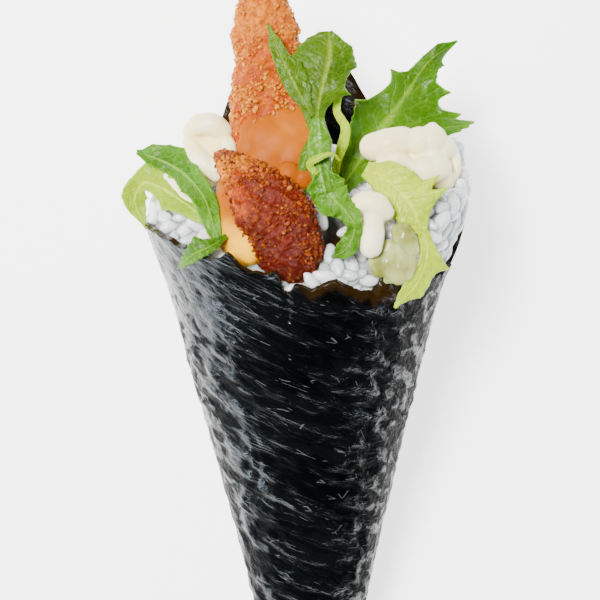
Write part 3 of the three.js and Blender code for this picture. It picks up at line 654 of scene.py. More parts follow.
# %% Make the chicken
CHICKEN_STRIP = {
    "spine": [
        (-7.9, 157.5, 40.5), (-7.7, 148, 40.4), (-7, 141.5, 40), (-7, 134.5, 39.2), (-7.4, 126, 37.5),
        (-8.2, 112, 34),
    ],
    "width": [
        (0, 7), (0.06, 8.6), (0.15, 10.4), (0.22, 12.4), (0.32, 11.4), (0.45, 12.2), (0.58, 14.2),
        (0.7, 13), (1, 10),
    ],
    "thick": [(0, 5), (0.1, 7), (0.4, 8.4), (0.7, 9), (1, 7)],
    "lean": [(0, 8), (0.5, -6), (1, 4)],
    "crag": 0.5,
    "phase": 0.4,
}
CHICKEN_FRONT = {
    "spine": [
        (-16.4, 124.6, 44), (-11.7, 120.4, 45), (-7, 114.8, 45.8), (-3.6, 108.8, 46), (-1.4, 101.2, 46),
    ],
    "width": [(0, 3), (0.12, 5), (0.25, 7.6), (0.45, 13), (0.62, 13.8), (0.85, 12.4), (1, 7.6)],
    "thick": [(0, 3), (0.2, 5.5), (0.5, 7.6), (1, 7)],
    "lean": [(0, -14), (0.5, 4), (1, 8)],
    "crag": 0.5,
    "phase": 2.3,
}

strip = fried("fried_strip", CHICKEN_STRIP, 300, 200, strip_crust)
front = fried("fried_front", CHICKEN_FRONT, 220, 200, front_crust)
for piece, node in ((strip, "chicken_strip"), (front, "chicken_front")):
    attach(piece, "root")
    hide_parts(node)
    print(piece.name, len(piece.data.polygons), "faces")

# %% [markdown]
# Loose crumbs sit on the crust. They are small angular flakes, thickest in patches, and Geometry Nodes
# set one on each chosen point of the crust with its own turn and size.

# %% Scatter by Geometry Nodes
def scatter_tree(name, material, make_shape, smooth):
    """A node tree that sets one shape on every point, turned and sized by the point's own attributes."""
    tree = bpy.data.node_groups.new(name, "GeometryNodeTree")
    tree.interface.new_socket("Geometry", in_out="INPUT", socket_type="NodeSocketGeometry")
    tree.interface.new_socket("Size", in_out="INPUT", socket_type="NodeSocketVector")
    tree.interface.new_socket("Geometry", in_out="OUTPUT", socket_type="NodeSocketGeometry")
    nodes, links = tree.nodes, tree.links
    start, finish = nodes.new("NodeGroupInput"), nodes.new("NodeGroupOutput")
    shape = nodes.new("GeometryNodeTransform")
    links.new(make_shape(nodes).outputs["Mesh"], shape.inputs["Geometry"])
    links.new(start.outputs["Size"], shape.inputs["Scale"])
    turn = nodes.new("GeometryNodeInputNamedAttribute")
    turn.data_type = "FLOAT_VECTOR"
    turn.inputs["Name"].default_value = "turn"
    size = nodes.new("GeometryNodeInputNamedAttribute")
    size.data_type = "FLOAT"
    size.inputs["Name"].default_value = "size"
    scatter = nodes.new("GeometryNodeInstanceOnPoints")
    links.new(start.outputs["Geometry"], scatter.inputs["Points"])
    links.new(shape.outputs["Geometry"], scatter.inputs["Instance"])
    links.new(turn.outputs["Attribute"], scatter.inputs["Rotation"])
    links.new(size.outputs["Attribute"], scatter.inputs["Scale"])
    real = nodes.new("GeometryNodeRealizeInstances")
    links.new(scatter.outputs["Instances"], real.inputs["Geometry"])
    shade = nodes.new("GeometryNodeSetShadeSmooth")
    shade.inputs["Shade Smooth"].default_value = smooth
    links.new(real.outputs["Geometry"], shade.inputs["Geometry"])
    paint = nodes.new("GeometryNodeSetMaterial")
    paint.inputs["Material"].default_value = material
    links.new(shade.outputs["Geometry"], paint.inputs["Geometry"])
    links.new(paint.outputs["Geometry"], finish.inputs["Geometry"])
    return tree


def scattered(name, spots, turns, sizes, tones, tree, shape_size):
    """The tree's shapes on the spots, turned into one plain mesh."""
    mesh = bpy.data.meshes.new(name + "_points")
    mesh.from_pydata(placed(spots).tolist(), [], [])
    turn = mesh.attributes.new("turn", "FLOAT_VECTOR", "POINT")
    turn.data.foreach_set("vector", np.array([tuple(t) for t in turns]).ravel())
    for key, values in (("size", sizes), ("tone", tones)):
        values_attribute = mesh.attributes.new(key, "FLOAT", "POINT")
        values_attribute.data.foreach_set("value", np.array(values))
    points = bpy.data.objects.new(name + "_points", mesh)
    bpy.context.scene.collection.objects.link(points)
    modifier = points.modifiers.new("scatter", "NODES")
    modifier.node_group = tree
    for item in tree.interface.items_tree:
        if item.in_out == "INPUT" and item.name == "Size":
            modifier[item.identifier] = [side * MM for side in shape_size]
    graph = bpy.context.evaluated_depsgraph_get()
    plain = bpy.data.meshes.new_from_object(points.evaluated_get(graph))
    bpy.data.objects.remove(points)
    piece = bpy.data.objects.new(name, plain)
    bpy.context.scene.collection.objects.link(piece)
    return piece


# %% [markdown]
# The crumbs lie on the crust's own points. On the front piece one flank is almost bare and deep red, so
# fewer are drawn there. Their tone, pale or brown, is drawn with them and read by the material.

# %% Crumbs
FLAKE_SIZE = (1.1, 0.85, 0.6)


def flake_shape(nodes):
    flake = nodes.new("GeometryNodeMeshIcoSphere")
    flake.inputs["Radius"].default_value = 0.5
    flake.inputs["Subdivisions"].default_value = 1
    return flake


def crumb_material(name, light, deep):
    material, tree, shader = new_material(name)
    color = ramp(tree, attribute(tree, "tone"), [(0.0, deep), (1.0, light)])
    tree.links.new(color, shader.inputs["Base Color"])
    shader.inputs["Roughness"].default_value = 0.45
    shader.inputs["Specular IOR Level"].default_value = 0.2
    soft_inside(shader, 0.3, (1.0, 0.4, 0.12), 0.001)
    return material


def crumbs_on(piece, name, count, material, seed, thin_out):
    """Flakes on the crust's own points, denser in patches and thinner on one flank."""
    draw = np.random.default_rng(seed)
    places = np.array([tuple(v.co) for v in piece.data.vertices]) / MM + ORIGIN
    normals = np.array([tuple(v.normal) for v in piece.data.vertices])
    run = np.array([item.value for item in piece.data.attributes["run"].data])
    patch = fractal(places, 3.5, 3, offset=seed)
    across = np.array([item.value for item in piece.data.attributes["across"].data])
    flank = smoothstep(-0.5, 0.4, across) * (1 - smoothstep(0.8, 0.95, across))
    bare = thin_out * smoothstep(0.2, 0.4, run) * flank
    weight = np.clip(0.35 + 1.6 * patch, 0.06, 1.4) * (1 - bare)
    chosen = draw.choice(len(places), count, replace=False, p=weight / weight.sum())
    turns = draw.random((count, 3)) * 2 * math.pi
    sizes = 0.35 + 0.95 * draw.random(count) ** 3
    tones = np.clip(draw.random(count) ** 1.5 * (1.1 - thin_out * run[chosen]), 0, 1)
    spots = places[chosen] + normals[chosen] * 0.08
    tree = scatter_tree(name + "_tree", material, flake_shape, False)
    return scattered(name, spots, turns, sizes, tones, tree, FLAKE_SIZE)


pale_crumbs = crumb_material("pale_crumbs", (0.60, 0.25, 0.018), (0.40, 0.09, 0.001))
brown_crumbs = crumb_material("brown_crumbs", (0.46, 0.12, 0.004), (0.10, 0.009, 0.001))
strip_crumbs = crumbs_on(strip, "strip_crumbs", 3600, pale_crumbs, 3, 0.0)
front_crumbs = crumbs_on(front, "front_crumbs", 2200, brown_crumbs, 5, 0.85)
for piece, node in ((strip_crumbs, "chicken_strip"), (front_crumbs, "chicken_front")):
    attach(piece, "root")
    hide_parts(node)
    print(piece.name, len(piece.data.polygons), "faces")

# %% [markdown]
# ## Sauce and mayonnaise
# Thick cream keeps the rounded shape that it was squeezed in, with a crease where two ropes of it meet.
# Balls and ropes of balls, run together by a voxel remesh and then smoothed, give that, and each dab
# stays one closed mesh.

# %% Creams from balls and ropes
ROPE_STEPS = 14  # balls for each knot of a rope
BALL_DETAIL = 3


def cream(name, spec, material, voxel=0.27, ripple=0.1, ripple_size=3.0):
    balls = [tuple(ball) for ball in spec.get("balls", [])]
    for rope in spec.get("ropes", []):
        rope = np.array(rope, dtype=float)
        steps = np.linspace(0, 1, ROPE_STEPS * len(rope))
        middle, _ = spine_points(rope[:, :3], steps, even=False)
        radius = np.interp(steps, np.linspace(0, 1, len(rope)), rope[:, 3])
        balls.extend((*point, r) for point, r in zip(middle, radius))
    squash = spec.get("squash", 1.0)
    union = bmesh.new()
    for x, y, z, radius in balls:
        made = bmesh.ops.create_icosphere(union, subdivisions=BALL_DETAIL, radius=radius)
        for vertex in made["verts"]:
            vertex.co.z *= squash
            vertex.co += Vector((x, y, z))
    mesh = bpy.data.meshes.new(name)
    union.to_mesh(mesh)
    union.free()
    build = bpy.data.objects.new(name + "_build", mesh)
    bpy.context.scene.collection.objects.link(build)
    remesh = build.modifiers.new("join", "REMESH")
    remesh.mode = "VOXEL"
    remesh.voxel_size = voxel
    soften = build.modifiers.new("soften", "SMOOTH")
    soften.factor = 0.5
    soften.iterations = spec.get("soften", 8)
    graph = bpy.context.evaluated_depsgraph_get()
    plain = bpy.data.meshes.new_from_object(build.evaluated_get(graph))
    bpy.data.objects.remove(build)
    points = np.empty(len(plain.vertices) * 3)
    plain.vertices.foreach_get("co", points)
    points = points.reshape(-1, 3)
    normals = np.empty(len(plain.vertices) * 3)
    plain.vertices.foreach_get("normal", normals)
    points = points + normals.reshape(-1, 3) * (ripple * fractal(points, ripple_size, 2))[:, None]
    plain.vertices.foreach_set("co", placed(points).ravel())
    plain.materials.clear()
    plain.materials.append(material)
    plain.polygons.foreach_set("use_smooth", [True] * len(plain.polygons))
    plain.update()
    piece = bpy.data.objects.new(name, plain)
    bpy.context.scene.collection.objects.link(piece)
    return piece


# %% [markdown]
# Mayonnaise is ivory and lets light deep in, which makes its creases warm. The sauces are mayonnaise
# with chilli, so they share its material with other colours, red specks and less shine. The lower one
# has a painted highlight, pale yellow at its low end along the roll. The pale slices further on use it too.

# %% Cream materials
def cream_material(
    name, light, shade, depth, specks=None, gloss=(0.2, 0.36), shine=0.2, clouds=120, painted_highlight_span=None
):
    """A glossy cream: light in the open, and warmer where it is thick or creased."""
    material, tree, shader = new_material(name)
    place = object_coordinates(tree)
    # painted highlight: below the span along Y the colour runs to the light one, above it to the shade one
    if painted_highlight_span:
        split = tree.nodes.new("ShaderNodeSeparateXYZ")
        tree.links.new(place, split.inputs["Vector"])
        cloud = patches(tree, clouds, 3.0, 0.5, -0.2, 0.2, (0.35, 0.68))
        part = math_node(tree, "ADD", cloud, scaled(tree, split.outputs["Y"], 0, 1, *painted_highlight_span))
    else:
        part = patches(tree, clouds, 3.0, 0.5, spread=(0.35, 0.68))
    color = mixed(tree, part, light, shade)
    if specks:
        dots = texture(tree, "ShaderNodeTexVoronoi", place, 620)
        near = ramp(tree, dots.outputs["Distance"], [(0.10, (1, 1, 1)), (0.17, (0, 0, 0))])
        some = ramp(tree, patches(tree, 300), [(0.58, (0, 0, 0)), (0.62, (1, 1, 1))])
        color = mixed(tree, mixed(tree, 1.0, near, some, "MULTIPLY"), color, specks)
    tree.links.new(color, shader.inputs["Base Color"])
    tree.links.new(patches(tree, 380, 4.0, 0.6, *gloss, MOST), shader.inputs["Roughness"])
    bump(tree, shader, patches(tree, 380, 4.0, 0.6), 0.0002, 0.1)
    shader.inputs["Specular IOR Level"].default_value = shine
    soft_inside(shader, 0.5, (1.0, 0.6, 0.25), depth)
    return material


mayonnaise = cream_material("mayonnaise", (0.98, 0.92, 0.62), (0.96, 0.80, 0.38), 0.0022)
SAUCE_GLOSS = (0.34, 0.5)
SAUCE_SHINE = 0.05
SAUCE_CLOUDS = 75
orange_sauce = cream_material(
    "orange_sauce", (0.40, 0.105, 0.0001), (0.25, 0.045, 0.0001), 0.001, (0.12, 0.012, 0.002),
    SAUCE_GLOSS, SAUCE_SHINE, SAUCE_CLOUDS,
)
# painted highlight: the lower sauce is pale yellow at its low end and orange above it
sauce_painted_highlight = cream_material(
    "sauce_painted_highlight", (0.90, 0.46, 0.002), (0.30, 0.065, 0.0002), 0.001, (0.2, 0.03, 0.002),
    SAUCE_GLOSS, SAUCE_SHINE, SAUCE_CLOUDS, painted_highlight_span=(0.0285, 0.0345),
)
print("cream materials:", mayonnaise.name, orange_sauce.name, sauce_painted_highlight.name)

# %% [markdown]
# A ball is written as its centre and radius, and a rope as a few such balls in a row. The sauce over the
# strip is squashed flat and smoothed for long, so that it lies like a cloth of sauce. The mayonnaise is
# barely smoothed, so that its creases stay.

# %% Place the creams
SAUCE_UPPER = {
    "balls": [
        (-4.8, 126, 43, 4.8), (-2.4, 124, 43.2, 4.6), (-6.6, 124, 43.2, 4.4), (-2.6, 128.2, 42.8, 4.4),
        (-7, 127.2, 43, 4), (-0.6, 126.4, 42.8, 4), (-4.4, 129.2, 42.6, 3.2), (-10.6, 125.6, 43, 2.3),
        (-10, 128.2, 42.8, 2.1), (-7.4, 129.8, 42.8, 2.3), (-4.2, 131, 42.6, 2.4),
        (-1.2, 132.4, 42, 2.2), (0.9, 129.4, 42.2, 2.4), (1, 126, 42.4, 2.5), (-1.4, 121.4, 43.6, 3),
        (-5, 121, 43.6, 3.2),
    ],
    "ropes": [
        [(-11, 127, 43, 1.4), (-11, 129.4, 43.2, 1.2), (-10, 130.6, 43, 1)],
        [(-7.2, 130.6, 42.8, 1.6), (-6, 132.2, 42.4, 1)],
        [(-0.8, 132.6, 42, 1.8), (-0.8, 134.8, 41.4, 1.1)],
    ],
    "squash": 0.42,
    "soften": 16,
}
SAUCE_LOWER = {
    "balls": [(-13.2, 116.4, 41.6, 3.6), (-13.1, 110.6, 43, 4.4), (-10.8, 108.2, 44, 4.2)],
    "ropes": [[
        (-14.8, 119.4, 40.4, 1.8), (-14.6, 114, 43, 2.2), (-12.6, 109, 45, 2.4), (-10.2, 106.2, 46, 2),
    ]],
    "soften": 70,
}
SAUCE_DROP = {"balls": [(-3.2, 121, 44, 2.6), (-0.6, 120.2, 44, 2.2)]}
MAYO_LEFT = {
    "balls": [(-18, 126, 35.4, 3.2), (-17.6, 122, 34.6, 3.2), (-20.4, 127.2, 36.6, 2)],
    "ropes": [
        [
            (-21.4, 129.2, 37.8, 1.5), (-19.6, 130.4, 38.8, 2), (-17.2, 130.4, 39.2, 2.1),
            (-15.2, 129.2, 38.8, 1.7),
        ],
        [
            (-21.6, 127.2, 37.8, 1.2), (-20.4, 125, 38.6, 1.6), (-18.4, 122.8, 39.2, 1.8),
            (-16.6, 121, 39, 1.3),
        ],
        [
            (-14.9, 127.8, 38.6, 1.3), (-14.2, 125.8, 39.2, 1.5), (-15.1, 123.7, 39.6, 1.6),
            (-17, 122.2, 39.6, 1.3),
        ],
    ],
    "soften": 3,
}
MAYO_SIDE = {
    "balls": [(-22.2, 118.2, 36.4, 2), (-20.6, 116.2, 38.2, 2)],
    "ropes": [[
        (-25.8, 121, 35, 1.1), (-23.8, 119.6, 36.6, 1.5), (-21.4, 117, 38.2, 1.7), (-20.2, 115, 39, 1.3),
    ]],
}
MAYO_RIGHT = {
    "balls": [
        (20, 123.4, 35, 5), (15, 125.6, 36.4, 3.2), (20.9, 127.2, 39.6, 2.8), (23.1, 127.4, 39.2, 3),
        (25.2, 126, 38.4, 2.5), (21.7, 121.6, 40.6, 3), (23.9, 122.2, 40.2, 2.9),
        (25.4, 120.2, 38.8, 2.2),
    ],
    "ropes": [
        [(12.5, 126.2, 38.4, 2.7), (15, 126.7, 39, 3), (17.6, 127.3, 39, 2.8)],
        [(14.3, 123.2, 40.6, 1.6), (16.5, 123.9, 41.2, 1.8), (18.4, 123.2, 41, 1.3)],
        [(22.9, 128.4, 39.4, 2), (23.3, 129.8, 38.8, 1.1)],
        [(27.2, 126, 37.6, 0.9), (27.8, 123.4, 38, 0.9), (27.2, 120.8, 38, 1), (25.6, 118.8, 38.4, 1.2)],
    ],
    "soften": 3,
}
MAYO_MID = {
    "balls": [(11.4, 113.8, 45.6, 2.8), (12, 110.4, 47, 2.3)],
    "ropes": [
        [
            (8.8, 114.8, 47, 1.7), (10.6, 115.6, 48, 2.2), (12.8, 115.2, 48.2, 2.2),
            (14.5, 113.8, 47.8, 1.5),
        ],
        [(12, 112, 48, 2.1), (12, 109.8, 48.6, 2.2), (11.7, 107.6, 48.6, 2.1)],
    ],
    "soften": 5,
}
CREAMS = [
    ("sauce_over_strip", SAUCE_UPPER, orange_sauce, "sauce_upper", "orange_sauce"),
    ("sauce_at_left", SAUCE_LOWER, sauce_painted_highlight, "sauce_lower", "orange_sauce"),
    ("sauce_dab", SAUCE_DROP, orange_sauce, "sauce_drop", "orange_sauce"),
    ("mayonnaise_left", MAYO_LEFT, mayonnaise, "mayo_left", "mayonnaise"),
    ("mayonnaise_side", MAYO_SIDE, mayonnaise, "mayo_side", "mayonnaise"),
    ("mayonnaise_right", MAYO_RIGHT, mayonnaise, "mayo_right", "mayonnaise"),
    ("mayonnaise_mid", MAYO_MID, mayonnaise, "mayo_mid", "mayonnaise"),
]
SAUCE_RIPPLE = 5.5
MAYO_RIPPLE = 3.0
creams = {}
for name, spec, material, node, slot in CREAMS:
    size = SAUCE_RIPPLE if slot == "orange_sauce" else MAYO_RIPPLE
    piece = cream(name, spec, material, ripple=0.02 * size, ripple_size=size)
    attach(piece, "root")
    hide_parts(node)
    creams[name] = piece
print(len(creams), "dabs of cream, mesh faces", [len(piece.data.polygons) for piece in creams.values()])

# %% [markdown]
# ## Lettuce
# Frilly green leaves with a pale midrib stand between the other fillings. A blade is a grid along its
# midrib: the two sides have their own widths, with long teeth, and the edge ripples up and down. Both
# faces are made, and they meet in a thin edge. The grid's own parts along and across go into a UV map,
# so that the veins in the material follow the leaf.

# %% Blades
LARGE_GRID = (170, 52)
MIDDLE_GRID = (110, 32)
SMALL_GRID = (80, 16)


def blade(name, spec, material):
    rows, columns = spec.get("grid", LARGE_GRID)
    t = np.linspace(0, 1, rows + 1)
    v = np.linspace(-1, 1, columns + 1)
    at, forward = spine_points(spec["spine"], t, even=True)
    side, up = side_and_up(forward, along(spec.get("roll", [(0, 0), (1, 0)]), t))
    left = toothed(spec["left"], t)
    right = toothed(spec["right"], t)
    fringe = 1 + spec.get("fringe", 0.05) * np.abs(np.sin(40 * t + 3 * np.sin(17 * t)))
    width = np.where(v[None] < 0, (left * fringe)[:, None], (right * fringe)[:, None])
    reach = np.abs(v)[None] * width
    sweep_left, sweep_right = spec.get("sweep", (0, 0))
    sweep = np.where(v < 0, sweep_left, sweep_right)[None]
    shift = np.where(v < 0, 1.4, 0.0)[None]
    ripple = spec.get("wave", 0) * np.abs(v)[None] ** 1.5 * np.sin(
        6.283 * spec.get("waves", 3) * t[:, None] + spec.get("phase", 0) + shift
    )
    frizz = spec.get("frizz", 0.18) * np.abs(v)[None] ** 3 * np.sin(
        6.283 * 3.7 * spec.get("waves", 3) * t[:, None] + 2 * shift
    )
    cup = spec.get("cup", 0) * v[None] ** 2 * reach
    groove = -0.25 * np.exp(-((v[None] / 0.07) ** 2)) * np.minimum(1, width)
    middle = (
        at[:, None]
        + side[:, None] * (np.sign(v)[None] * reach)[..., None]
        + forward[:, None] * (sweep * reach)[..., None]
        + up[:, None] * (cup + ripple + frizz + groove)[..., None]
    )
    crinkle = np.array([noise.fractal(Vector(p) / 2.4, 0.8, 2.0, 3) for p in middle.reshape(-1, 3)])
    middle = middle + up[:, None] * (0.22 * crinkle.reshape(reach.shape) * np.minimum(1, width))[..., None]
    rib = spec.get("rib", 0.5)
    half = 0.5 * spec.get("thick", 0.5) * (1 + rib * np.exp(-((v / 0.2) ** 2)))[None]
    half = half * np.minimum(1, 0.5 + width / 3) * np.minimum(1, 8 * (1 - np.abs(v)))[None]
    half[0] = half[-1] = 0
    half[:, 0] = half[:, -1] = 0
    top = (middle + up[:, None] * half[..., None]).reshape(-1, 3)
    under = (middle - up[:, None] * half[..., None]).reshape(-1, 3)
    across = columns + 1
    grid = np.arange((rows + 1) * across).reshape(rows + 1, across)
    on_edge = np.zeros_like(grid, dtype=bool)
    on_edge[0] = on_edge[-1] = True
    on_edge[:, 0] = on_edge[:, -1] = True
    under_index = grid.copy()
    under_index[~on_edge] = len(top) + np.arange((~on_edge).sum())
    points = np.vstack([top, under[(~on_edge).ravel()]])
    faces = []
    for index, flip in ((grid, False), (under_index, True)):
        corners = [index[:-1, :-1], index[:-1, 1:], index[1:, 1:], index[1:, :-1]]
        quads = np.stack(corners, axis=-1).reshape(-1, 4)
        faces.extend(tuple(q[::-1]) if flip else tuple(q) for q in quads.tolist())
    faces = facing_out(points, faces)
    piece = make_object(name, points, faces, material)
    where = np.stack([np.repeat(t, across), np.tile(v, rows + 1)], axis=1)
    where = np.vstack([where, where[(~on_edge).ravel()]])
    layer = piece.data.uv_layers.new(name="leaf")
    loops = np.empty(len(piece.data.loops), dtype=int)
    piece.data.loops.foreach_get("vertex_index", loops)
    layer.data.foreach_set("uv", where[loops].ravel())
    return piece


# %% [markdown]
# Lettuce lets light in, so some of it scatters under the face, below a waxy gloss. The veins branch from
# the midrib at a slant, and the cells between them swell a little, which gives the leaf its quilted look.

# %% Leaf materials
VEINS = 9.0
SLANT = 1.5
vein_group, start, finish = new_group("leaf_veins", [], ["Across", "Net", "Vein", "Rib", "Relief"])
links = vein_group.links
split = vein_group.nodes.new("ShaderNodeSeparateXYZ")
links.new(add(vein_group, "ShaderNodeUVMap", uv_map="leaf").outputs["UV"], split.inputs["Vector"])
away = math_node(vein_group, "ABSOLUTE", split.outputs["Y"], 0.0)
wobble = patches(vein_group, 240, 3.0, 0.6, -0.175, 0.175, MOST)
branch = math_node(vein_group, "MULTIPLY", split.outputs["X"], VEINS)
branch = math_node(vein_group, "SUBTRACT", branch, math_node(vein_group, "MULTIPLY", away, SLANT))
branch = math_node(vein_group, "FRACT", math_node(vein_group, "ADD", branch, wobble), 0.0)
wave = math_node(vein_group, "ABSOLUTE", math_node(vein_group, "SUBTRACT", branch, 0.5), 0.0)
vein = ramp(vein_group, wave, [(0.0, (1, 1, 1)), (0.09, (0, 0, 0))])
place = object_coordinates(vein_group)
cells = texture(vein_group, "ShaderNodeTexVoronoi", place, 620, feature="DISTANCE_TO_EDGE")
net = ramp(vein_group, cells.outputs["Distance"], [(0.0, (1, 1, 1)), (0.09, (0, 0, 0))])
rib = ramp(vein_group, away, [(0.03, (1, 1, 1)), (0.12, (0, 0, 0))])
swell = math_node(vein_group, "MULTIPLY", cells.outputs["Distance"], 0.9)
relief = math_node(vein_group, "ADD", math_node(vein_group, "MULTIPLY", vein, -0.7), swell)
for label, source in (("Across", away), ("Net", net), ("Vein", vein), ("Rib", rib), ("Relief", relief)):
    links.new(source, finish.inputs[label])


def leaf_material(name, rib_color, light, dark, edge_color):
    """A leaf from dark to light in patches, paler along veins and rib, with its own edge colour."""
    material, tree, shader = new_material(name)
    veins = grouped(tree, vein_group).outputs
    color = ramp(tree, patches(tree, 95, 3.0, 0.6), [(0.34, dark), (0.66, light)])
    color = mixed(tree, math_node(tree, "MULTIPLY", veins["Across"], 0.45), color, edge_color)
    for label, strength in (("Net", 0.16), ("Vein", 0.28), ("Rib", 0.7)):
        color = mixed(tree, math_node(tree, "MULTIPLY", veins[label], strength), color, rib_color)
    tree.links.new(color, shader.inputs["Base Color"])
    tree.links.new(patches(tree, 240, 3.0, 0.6, 0.28, 0.5, MOST), shader.inputs["Roughness"])
    bump(tree, shader, veins["Relief"], 0.0005, 0.55)
    shader.inputs["Specular IOR Level"].default_value = 0.15
    soft_inside(shader, 0.35, (0.5, 1.0, 0.2), 0.0012)
    return material


# rib, light, dark and edge colours of each kind of leaf
LEAF_COLORS = {
    "green_leaf": [(0.17, 0.31, 0.015), (0.065, 0.165, 0.001), (0.022, 0.078, 0.0005), (0.045, 0.15, 0.001)],
    "olive_leaf": [(0.20, 0.29, 0.02), (0.065, 0.125, 0.001), (0.026, 0.066, 0.0005), (0.04, 0.12, 0.001)],
    "blue_leaf": [(0.20, 0.36, 0.03), (0.075, 0.20, 0.008), (0.022, 0.090, 0.001), (0.070, 0.19, 0.001)],
    "lime_leaf": [(0.46, 0.56, 0.03), (0.26, 0.36, 0.001), (0.15, 0.25, 0.0005), (0.20, 0.35, 0.0005)],
    "pale_leaf": [(0.58, 0.66, 0.06), (0.44, 0.57, 0.005), (0.30, 0.43, 0.001), (0.29, 0.45, 0.001)],
}
leaf_colors = {name: leaf_material(name, *colors) for name, colors in LEAF_COLORS.items()}
print(len(leaf_colors), "kinds of leaf")

# %% [markdown]
# A leaf's outline is its curve, from root to tip, and its reach to the left and to the right of it. A
# high knot between low ones becomes a tooth. Widths and thickness are in millimetres, and wave is how
# far the edge ripples.

# %% Leaf shapes
CENTRE_BLADE = {
    "spine": [
        (1.9, 127, 46.2), (2.1, 132, 46.6), (2.8, 136.5, 46.8), (4.1, 141.5, 46.2), (4.2, 147, 44.6),
    ],
    "left": [
        (0, 1), (0.12, 1.8), (0.25, 3), (0.37, 4.2), (0.54, 6.2), (0.72, 6.8), (0.86, 5.6), (0.95, 4),
        (1, 2),
    ],
    "right": [
        (0, 1), (0.25, 1.3), (0.37, 2.6), (0.43, 4), (0.46, 5.4), (0.54, 3.9), (0.66, 4), (0.72, 5.2),
        (0.86, 4), (0.95, 1.6), (1, 0.6),
    ],
    "cup": -0.12, "wave": 0.7, "waves": 2.4,
}
CENTRE_FINGER = {
    "grid": MIDDLE_GRID,
    "spine": [(1.2, 131.2, 46.8), (-1.6, 135.8, 47), (-4.3, 141.4, 46.8), (-7, 148.2, 45.6)],
    "left": [(0, 0.6), (0.3, 1.7), (0.55, 1.7), (0.8, 1.3), (1, 0.2)],
    "right": [(0, 0.6), (0.3, 3), (0.52, 3), (0.62, 1.7), (0.8, 1.1), (1, 0.2)],
    "wave": 0.3, "waves": 1.5,
}
CENTRE_STEM = {
    "grid": SMALL_GRID,
    "spine": [(2.1, 131, 46.6), (2.4, 126.5, 47.2), (2.4, 122, 47.8), (3.4, 117, 48.6)],
    "left": [(0, 1.2), (0.3, 2.3), (0.6, 2.1), (1, 1.5)],
    "right": [(0, 1.2), (0.3, 2.3), (0.6, 2.1), (1, 1.5)],
    "thick": 2.0, "rib": 0.2, "frizz": 0.0, "fringe": 0.0,
}
CENTRE_FRILL = {
    "spine": [
        (3, 121, 48.4), (4.2, 117, 49), (7, 113.9, 49.6), (8.6, 111, 49.9), (7.2, 107.4, 49.8),
        (4.6, 105.6, 49),
    ],
    "left": [
        (0, 1.4), (0.1, 3.4), (0.2, 3), (0.28, 3.6), (0.4, 2.2), (0.52, 2.2), (0.62, 1.5), (0.8, 1.8),
        (0.9, 1.4), (1, 0.3),
    ],
    "right": [
        (0, 1.6), (0.12, 3.4), (0.22, 3), (0.32, 3.4), (0.42, 2.2), (0.5, 1.4), (0.62, 1.3), (0.75, 1.7),
        (0.88, 1.6), (1, 0.3),
    ],
    "cup": 0.12, "wave": 0.9, "waves": 3.6, "frizz": 0.35,
}
CENTRE_CURL = {
    "grid": SMALL_GRID,
    "spine": [
        (2, 120.6, 49.2), (0.6, 122.4, 49.6), (2.6, 123.7, 50.6), (4.8, 124.2, 51), (6, 123, 50.2),
    ],
    "left": [(0, 0.6), (0.5, 0.7), (1, 0.2)],
    "right": [(0, 0.6), (0.5, 0.7), (1, 0.2)],
}
RIGHT_BLADE = {
    "spine": [
        (4.6, 116, 34.4), (8.6, 122, 33.4), (12.6, 128.4, 32), (16.3, 133.5, 30.4), (19.2, 137.4, 29),
        (22.8, 142.8, 27.2), (28.7, 147.2, 25),
    ],
    "left": [
        (0, 1.6), (0.2, 3.6), (0.34, 5), (0.44, 6.8), (0.51, 4.6), (0.6, 3.6), (0.66, 5), (0.74, 1.8),
        (0.84, 1.4), (0.9, 1.6), (1, 0.2),
    ],
    "right": [
        (0, 1.6), (0.2, 4), (0.3, 10), (0.35, 12.4), (0.415, 13.2), (0.455, 13), (0.48, 10.4),
        (0.51, 10.6), (0.54, 7.4), (0.6, 5.7), (0.63, 6.9), (0.68, 3.6), (0.77, 2.7), (0.82, 2.7),
        (0.88, 1.2), (1, 0.2),
    ],
    "cup": 0.06, "wave": 1.0, "waves": 3.2, "sweep": (0.15, 0.78),
}
PALE_BLADE = {
    "spine": [(10.8, 122, 42.4), (15.4, 119.2, 44.8), (18.6, 115.5, 45.8), (20.9, 110.4, 46.2)],
    "left": [
        (0, 1.5), (0.2, 3.4), (0.45, 4.4), (0.54, 4.4), (0.6, 8), (0.66, 4.8), (0.71, 7.8), (0.78, 4),
        (0.9, 2.2), (1, 1.2),
    ],
    "right": [(0, 1.5), (0.2, 2.6), (0.4, 4.2), (0.6, 4.8), (0.8, 3.2), (1, 1.2)],
    "cup": -0.08, "wave": 0.4,
}
PALE_TAIL = {
    "grid": MIDDLE_GRID,
    "spine": [(20.6, 112, 46.3), (21.7, 107.4, 45.8), (20.4, 102, 45.2), (16, 96.6, 45.6)],
    "left": [
        (0, 1), (0.2, 1.4), (0.36, 3.2), (0.44, 5.4), (0.52, 2.8), (0.66, 2.4), (0.74, 2.6), (0.86, 1.2),
        (1, 0.2),
    ],
    "right": [(0, 1), (0.3, 1), (0.5, 1.4), (0.7, 2.2), (0.85, 1.4), (1, 0.2)],
    "roll": [(0, 0), (0.4, -24), (1, -20)], "wave": 0.3,
}
LEFT_UPPER_BLADE = {
    "spine": [
        (-31.6, 125.6, 33.6), (-26, 123.3, 36.4), (-21.8, 120.4, 39.6), (-18.6, 116.4, 43.4),
        (-17, 111.6, 46), (-15.8, 107.6, 46.4),
    ],
    "left": [
        (0, 0.4), (0.1, 2.4), (0.2, 3.4), (0.3, 4.2), (0.36, 5.2), (0.42, 3), (0.55, 2.4), (0.75, 2),
        (0.9, 1.4), (1, 0.4),
    ],
    "right": [
        (0, 0.4), (0.1, 1.4), (0.3, 1.6), (0.42, 2.2), (0.5, 2.8), (0.58, 2.2), (0.75, 2), (0.9, 1.4),
        (1, 0.4),
    ],
    "cup": 0.14, "wave": 0.5, "waves": 2.2,
}
